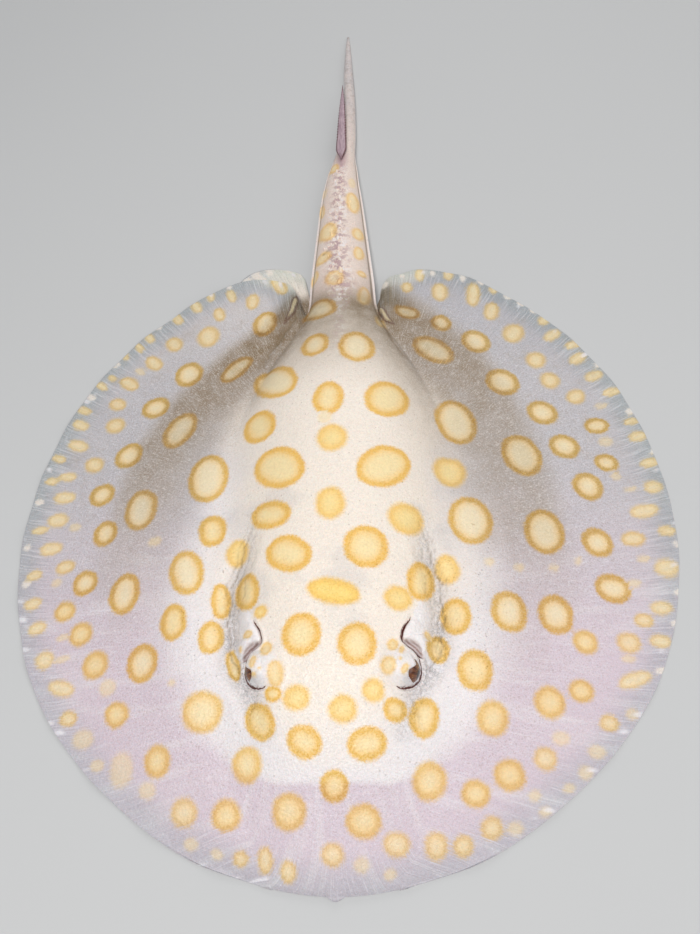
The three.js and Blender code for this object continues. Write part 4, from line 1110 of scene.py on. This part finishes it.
class RAY_OT_skin(bpy.types.Operator):
    """The skin of head, trunk, fins and tail, in one piece"""

    bl_idname = "ray.skin"
    bl_label = "Skin"

    def grid(self):
        """The disc and the tail as one closed slab, finer above and round the eyes and mouth."""
        middle = FIN_COLUMNS + BODY_COLUMNS // 2
        bm = slab(ALL_COLUMNS, ALL_ROWS)
        beside_tail = [
            f for f in bm.faces
            if f.calc_center_median().y > DISC_ROWS
            and abs(f.calc_center_median().x - middle) > BODY_COLUMNS / 2
        ]
        bmesh.ops.delete(bm, geom=beside_tail, context="FACES")
        close_slab(bm)
        divide(bm, lambda place: place.z > 0.6)
        eyes = np.interp((-75, -45), ROW_SPREAD[1], ROW_SPREAD[0])
        shares = np.interp((0.42, 0.83), BODY_SPREAD[1], BODY_SPREAD[0]) * BODY_COLUMNS / 2
        mouth = np.interp((-96, -14), ROW_SPREAD[1], ROW_SPREAD[0])

        def by_eyes(place):
            across = abs(place.x - middle)
            return place.z > 0.99 and eyes[0] < place.y < eyes[1] and shares[0] < across < shares[1]

        def by_mouth(place):
            return place.z < 0.01 and mouth[0] < place.y < mouth[1] and abs(place.x - middle) < 23

        divide(bm, by_eyes)
        divide(bm, by_mouth)
        return bm

    def smooth_joins(self, bm, column, y, level):
        """Softens the change of slope where the fins meet the head and trunk."""
        half = BODY_COLUMNS / 2
        across = np.abs(column - FIN_COLUMNS - half)
        near = (np.abs(across - half) < JOIN_REACH) & (y < 42) & (level == 1)
        join = [v for v, chosen in zip(bm.verts, near) if chosen]
        for _ in range(JOIN_ROUNDS):
            bmesh.ops.smooth_vert(bm, verts=join, factor=0.5, use_axis_z=True)

    def pelvic_fin(self, side, sizes):
        bm = slab(PELVIC_COLUMNS, PELVIC_ROWS)
        close_slab(bm)
        column, row, level = grid_places(bm)
        coat = sizes.coat_depth / MM
        out, share = column / PELVIC_COLUMNS, row / PELVIC_ROWS
        root_y = PELVIC_ROOT_Y[0] + (PELVIC_ROOT_Y[1] - PELVIC_ROOT_Y[0]) * share
        root_x = curve(HALF_WIDTH, root_y) - 3.0
        rim_x, rim_y = by_length(PELVIC_RIM)[0](share)
        if side > 0:
            rim_y = PELVIC_ROOT_Y[0] + (rim_y - PELVIC_ROOT_Y[0]) * LEFT_PELVIC_LENGTH
        pulled = np.where(level == 0.5, 0, 0.4)
        spread = out * (1 - (coat + pulled * (out > 0.99)) / 25)
        x = side * (root_x + (rim_x - root_x) * spread)
        y = root_y + (rim_y - root_y) * spread
        top = 2.4 + (0.95 - 2.4) * step(0, 1, out)
        z = np.where(level == 0.5, 0.5 * (top + 0.1), np.where(level > 0.5, top, 0.1))
        move_to(bm, x, y, z)
        above = np.where(level > 0.2, 1.0, 0.0)
        flat = np.zeros(len(x))
        spots = {"white": PELVIC_SPOTS}
        return bm, markings(x, y, 90 * share, flat, out, above, spots, (1 - out) * 30)

    def execute(self, context):
        sizes = context.scene.ray_sizes
        whole = self.grid()
        column, row, level = grid_places(whole)
        x, y, z, rays, t, out = skin_place(column, row, level, sizes)
        move_to(whole, x, y, z)
        self.smooth_joins(whole, column, y, level)
        margin = np.where(row <= DISC_ROWS, margin_distance(x, y, out > 0), 80)
        parts = [markings(x, y, rays, t, out, step(0, 0.5, level), SPOTS, margin)]
        for side in (1, -1):
            fin, marks = self.pelvic_fin(side, sizes)
            spare = bpy.data.meshes.new("pelvic fin")
            fin.to_mesh(spare)
            fin.free()
            whole.from_mesh(spare)
            bpy.data.meshes.remove(spare)
            parts.append(marks)
        material = skin_material(context.scene.ray_colours, "ring-spotted skin")
        skin = finished(whole, "ray_skin", material)
        store(skin.data, {name: np.concatenate([part[name] for part in parts]) for name in parts[0]})
        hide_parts(*FLESH_NODES)
        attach(skin, "root")
        return {"FINISHED"}


class Tufts:
    """Many small copies of one shape, rooted on the skin and joined into one mesh."""

    def __init__(self, shape, columns, rows, sizes):
        above = np.ones(len(columns))
        near = 0.05
        place = skin_place(columns, rows, above, sizes)
        across = skin_place(columns + near, rows, above, sizes)
        along = skin_place(columns, rows + near, above, sizes)
        self.root = np.stack(place[:3], 1)
        self.rays, self.t, self.out = place[3:]
        first = np.stack(across[:3], 1) - self.root
        second = np.stack(along[:3], 1) - self.root
        self.up = np.cross(first, second)
        self.up /= np.linalg.norm(self.up, axis=1)[:, None]
        back = second / np.linalg.norm(second, axis=1)[:, None]
        self.side = np.cross(back, self.up)
        self.side /= np.linalg.norm(self.side, axis=1)[:, None]
        self.back = np.cross(self.up, self.side)
        self.unwrapped = np.stack((columns / ALL_COLUMNS, rows / ALL_ROWS), 1)
        shape.verts.index_update()
        self.shape = np.array([v.co for v in shape.verts])
        self.faces = np.array([[v.index for v in f.verts] for f in shape.faces])
        shape.free()

    def build(self, name, widths, material):
        count = len(self.root)
        local = self.shape[None] * widths[:, None, None]
        places = self.root[:, None] + local[..., :1] * self.side[:, None]
        places = places + local[..., 1:2] * self.back[:, None] + local[..., 2:] * self.up[:, None]
        faces = (self.faces[None] + len(self.shape) * np.arange(count)[:, None, None]).reshape(-1, 3)
        mesh = bpy.data.meshes.new(name)
        mesh.from_pydata((places.reshape(-1, 3) * MM).tolist(), [], faces.tolist())
        patch = self.unwrapped[:, None] * MAP_SHARE + PATCH_SIZE * self.shape[None, :, :2] + MAP_BORDER
        layer = mesh.uv_layers.new(name="OFBake")
        layer.data.foreach_set("uv", patch.reshape(-1, 2)[faces.ravel()].ravel())
        mesh.polygons.foreach_set("use_smooth", [True] * len(faces))
        mesh.materials.append(material)
        made = bpy.data.objects.new(name, mesh)
        bpy.context.scene.collection.objects.link(made)
        x, y, _ = self.root.T
        on_disc = self.unwrapped[:, 1] * ALL_ROWS <= DISC_ROWS
        margin = np.where(on_disc, margin_distance(x, y, self.out > 0), 80)
        marks = markings(x, y, self.rays, self.t, self.out, np.ones(count), SPOTS, margin)
        store(mesh, {key: np.repeat(rows, len(self.shape), axis=0) for key, rows in marks.items()})
        return made


def thorn_shape(round_faces, rings, lean):
    """A thorn one unit wide, its point drawn back along +Y."""
    bm = bmesh.new()
    bmesh.ops.create_uvsphere(bm, u_segments=round_faces, v_segments=rings, radius=0.5)
    for v in bm.verts:
        rise = max(v.co.z, 0) * 2
        taper = (1 - rise) ** 0.45 / max(math.sqrt(1 - rise * rise), 0.05) if rise < 1 else 0
        v.co.x *= taper
        v.co.y = 1.35 * v.co.y * taper + lean * rise ** 1.6
        v.co.z = v.co.z * (1.1 if v.co.z > 0 else 0.8)
    bmesh.ops.triangulate(bm, faces=bm.faces)
    return bm


class RAY_OT_prickles(bpy.types.Operator):
    """The small prickles of the back, disc and tail"""

    bl_idname = "ray.prickles"
    bl_label = "Prickles"

    def execute(self, context):
        sizes = context.scene.ray_sizes
        pick = np.random.default_rng(7)
        half = BODY_COLUMNS / 2
        columns = pick.uniform(3, ALL_COLUMNS - 3, PRICKLES_TRIED)
        rows = pick.uniform(8, DISC_ROWS + 44, PRICKLES_TRIED)
        across = np.abs(columns - ALL_COLUMNS / 2)
        x, y = skin_place(columns, rows, np.ones(len(columns)), sizes)[:2]
        # Dense in the middle of the back, thinner towards the rim and on the tail, none round the
        # eyes and along the joins of the fins.
        inner = np.hypot(x / 92, (y + 5) / 92)
        wanted = pick.uniform(0, 1, len(x)) < 1.15 - inner
        wanted &= (rows < DISC_ROWS) | (across < 0.8 * half)
        wanted &= (rows < DISC_ROWS) | (pick.uniform(0, 1, len(x)) < 0.5)
        wanted &= np.hypot(np.abs(x) - 26, y + 60) > 14
        wanted &= np.abs(across - half) > 0.7
        columns, rows = columns[wanted], rows[wanted]
        bm = bmesh.new()
        bmesh.ops.create_cone(bm, cap_ends=True, cap_tris=True, segments=5, radius1=0.5, radius2=0, depth=0.6)
        bmesh.ops.translate(bm, vec=(0, 0, 0.08), verts=bm.verts)
        for v in bm.verts:
            v.co.y += 0.5 * max(v.co.z, 0)
        # A slightly darker copy of the skin: painted shade.
        material = skin_material(context.scene.ray_colours, "prickles", grain=0.0, light=0.95)
        widths = sizes.prickle_width / MM * pick.uniform(0.6, 1.25, len(columns))
        prickles = Tufts(bm, columns, rows, sizes).build("ray_prickles", widths, material)
        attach(prickles, "root")
        return {"FINISHED"}


class RAY_OT_thorns(bpy.types.Operator):
    """The row of thorns and the knobs round it on the tail"""

    bl_idname = "ray.thorns"
    bl_label = "Thorns"

    def execute(self, context):
        sizes = context.scene.ray_sizes
        pick = np.random.default_rng(5)
        middle = FIN_COLUMNS + BODY_COLUMNS / 2
        share = np.linspace(0, 1, LARGE_THORNS)
        large_rows = np.interp(112 + 82 * share, ROW_SPREAD[1], ROW_SPREAD[0])
        small_rows = np.interp(pick.uniform(100, 197, SMALL_THORNS), ROW_SPREAD[1], ROW_SPREAD[0])
        large_columns = middle + pick.normal(-0.6, 0.5, LARGE_THORNS)
        small_columns = middle + pick.normal(-1.5, 5, SMALL_THORNS)
        columns = np.concatenate((large_columns, small_columns))
        rows = np.concatenate((large_rows, small_rows))
        small_widths = pick.uniform(0.3, 0.6, SMALL_THORNS)
        widths = np.concatenate((1 - 0.4 * share, small_widths)) * sizes.thorn_width / MM
        # A slightly lighter copy of the skin: painted light.
        material = skin_material(context.scene.ray_colours, "thorns", grain=0.3, light=1.06)
        thorns = Tufts(thorn_shape(12, 9, 0.55), columns, rows, sizes).build("ray_thorns", widths, material)
        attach(thorns, "root")
        return {"FINISHED"}


class RAY_OT_eyes(bpy.types.Operator):
    """Both eyes, looking out to the sides"""

    bl_idname = "ray.eyes"
    bl_label = "Eyes"

    def execute(self, context):
        material = eye_material(context.scene.ray_colours)
        for side, name in ((1, "eye_left"), (-1, "eye_right")):
            bm = bmesh.new()
            bmesh.ops.create_uvsphere(bm, u_segments=48, v_segments=32, radius=EYE_RADIUS * MM)
            look = bm.verts.layers.float_color.new("look")
            for v in bm.verts:
                angle = v.co.angle(Vector((0, 0, 1)))
                turn = math.atan2(v.co.y, v.co.x)
                v[look] = (angle / math.pi, turn / (2 * math.pi) + 0.5, 0, 1)
                v.co *= 1 + 0.04 * float(bump(angle, 0.75))
            gaze = Vector((side * 0.95, -0.3, 0.05)).to_track_quat("Z", "Y").to_matrix().to_4x4()
            shift = Vector((-RIGHT_EYE_SHIFT[0], RIGHT_EYE_SHIFT[1], 0)) if side < 0 else Vector()
            centre = (Vector((side * EYE.x, EYE.y, EYE.z)) + shift) * MM
            bmesh.ops.transform(bm, matrix=Matrix.Translation(centre) @ gaze, verts=bm.verts)
            eye = finished(bm, f"ray_{name}", material)
            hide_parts(name)
            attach(eye, "root")
        return {"FINISHED"}


class RAY_OT_sting(bpy.types.Operator):
    """The toothed sting on the tail"""

    bl_idname = "ray.sting"
    bl_label = "Sting"

    def execute(self, context):
        bm = slab(STING_COLUMNS, STING_ROWS)
        close_slab(bm)
        column, row, level = grid_places(bm)
        across, t = 2 * column / STING_COLUMNS - 1, row / STING_ROWS
        root = step(0, 0.13, t)
        width = 0.5 * STING_WIDTH * (0.15 + 0.85 * root) * (1 - t ** 2.2)
        tooth = 1 - 0.2 * ((t * STING_TEETH) % 1) * step(0.2, 0.3, t)
        width = width * tooth + 0.05
        thick = 0.5 * STING_THICKNESS * (1 - 0.75 * t ** 3) * np.sqrt(np.clip(1.02 - across ** 2, 0, 1))
        thick = thick * (0.25 + 0.75 * root)
        groove = 0.22 * bump(np.abs(across) - 0.3, 0.2) * (1 - t)
        ridge = np.where(level > 0.5, thick - groove, np.where(level < 0.5, -thick, 0))
        move_to(bm, across * width, t * STING_LENGTH, ridge)
        lean = Matrix.Rotation(-0.028, 4, "X") @ Matrix.Rotation(-0.16, 4, "Y")
        place = Matrix.Translation(STING_ROOT * MM) @ lean
        bmesh.ops.transform(bm, matrix=place, verts=bm.verts)
        sting = finished(bm, "ray_sting", sting_material(context.scene.ray_colours))
        store(sting.data, {"blade": np.stack((t, np.abs(across), 0 * t, 0 * t + 1), 1)})
        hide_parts("sting")
        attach(sting, "root")
        return {"FINISHED"}


class RAY_OT_stage(bpy.types.Operator):
    """Floor, soft lights and camera"""

    bl_idname = "ray.stage"
    bl_label = "Stage"

    def light(self, name, place, size, power):
        data = bpy.data.lights.new(name, "AREA")
        data.shape = "DISK"
        data.size = size
        data.energy = power
        lamp = bpy.data.objects.new(name, data)
        lamp.location = place
        lamp.rotation_euler = (Vector(LIT_PLACE) - Vector(place)).to_track_quat("-Z", "Y").to_euler()
        bpy.context.scene.collection.objects.link(lamp)

    def execute(self, context):
        colours = context.scene.ray_colours
        context.scene.view_settings.view_transform = "Standard"
        bm = bmesh.new()
        bmesh.ops.create_grid(bm, x_segments=2, y_segments=2, size=6)
        floor = finished(bm, "studio_floor", floor_material(colours), smooth=False)
        world = bpy.data.worlds.new("studio")
        world.use_nodes = True
        world.node_tree.nodes["Background"].inputs["Color"].default_value = (0.92, 0.95, 1, 1)
        world.node_tree.nodes["Background"].inputs["Strength"].default_value = 0.3
        context.scene.world = world
        for light in LIGHTS:
            self.light(*light)

        pitch, aside, roll = (math.radians(turn) for turn in (CAMERA_PITCH, CAMERA_ASIDE, CAMERA_ROLL))
        back = Vector((
            math.sin(aside), -math.sin(pitch) * math.cos(aside), math.cos(pitch) * math.cos(aside)))
        up = (Vector((0, 1, 0)) - back * back.y).normalized()
        right = up.cross(back)
        tilted_up = up * math.cos(roll) + right * math.sin(roll)
        tilted_right = right * math.cos(roll) - up * math.sin(roll)
        data = bpy.data.cameras.new("camera")
        data.sensor_width = CAMERA_SENSOR
        data.lens = CAMERA_LENS
        data.clip_start = 0.01
        camera = bpy.data.objects.new("camera", data)
        axes = Matrix((tilted_right, tilted_up, back)).transposed().to_4x4()
        place = Matrix.Translation(CAMERA_TARGET * MM + back * CAMERA_DISTANCE * MM)
        camera.matrix_world = place @ axes
        context.scene.collection.objects.link(camera)
        context.scene.camera = camera
        return {"FINISHED"}


class RAY_PT_panel(bpy.types.Panel):
    """The stingray's pieces, sizes and colours"""

    bl_idname = "RAY_PT_panel"
    bl_label = "Stingray"
    bl_space_type = "VIEW_3D"
    bl_region_type = "UI"
    bl_category = "Stingray"

    def draw(self, context):
        for operator in OPERATORS:
            self.layout.operator(operator.bl_idname)
        for group in (context.scene.ray_sizes, context.scene.ray_colours):
            box = self.layout.box()
            for name in group.__annotations__:
                box.prop(group, name)


OPERATORS = (RAY_OT_skin, RAY_OT_prickles, RAY_OT_thorns, RAY_OT_eyes, RAY_OT_sting, RAY_OT_stage)
CLASSES = (RaySizes, RayColours, *OPERATORS, RAY_PT_panel)


def register():
    for item in CLASSES:
        bpy.utils.register_class(item)
    bpy.types.Scene.ray_sizes = bpy.props.PointerProperty(type=RaySizes)
    bpy.types.Scene.ray_colours = bpy.props.PointerProperty(type=RayColours)


def unregister():
    del bpy.types.Scene.ray_sizes
    del bpy.types.Scene.ray_colours
    for item in reversed(CLASSES):
        bpy.utils.unregister_class(item)


def main():
    register()
    bpy.ops.ray.skin()
    bpy.ops.ray.prickles()
    bpy.ops.ray.thorns()
    bpy.ops.ray.eyes()
    bpy.ops.ray.sting()
    bpy.ops.ray.stage()


if __name__ == "__main__":
    main()
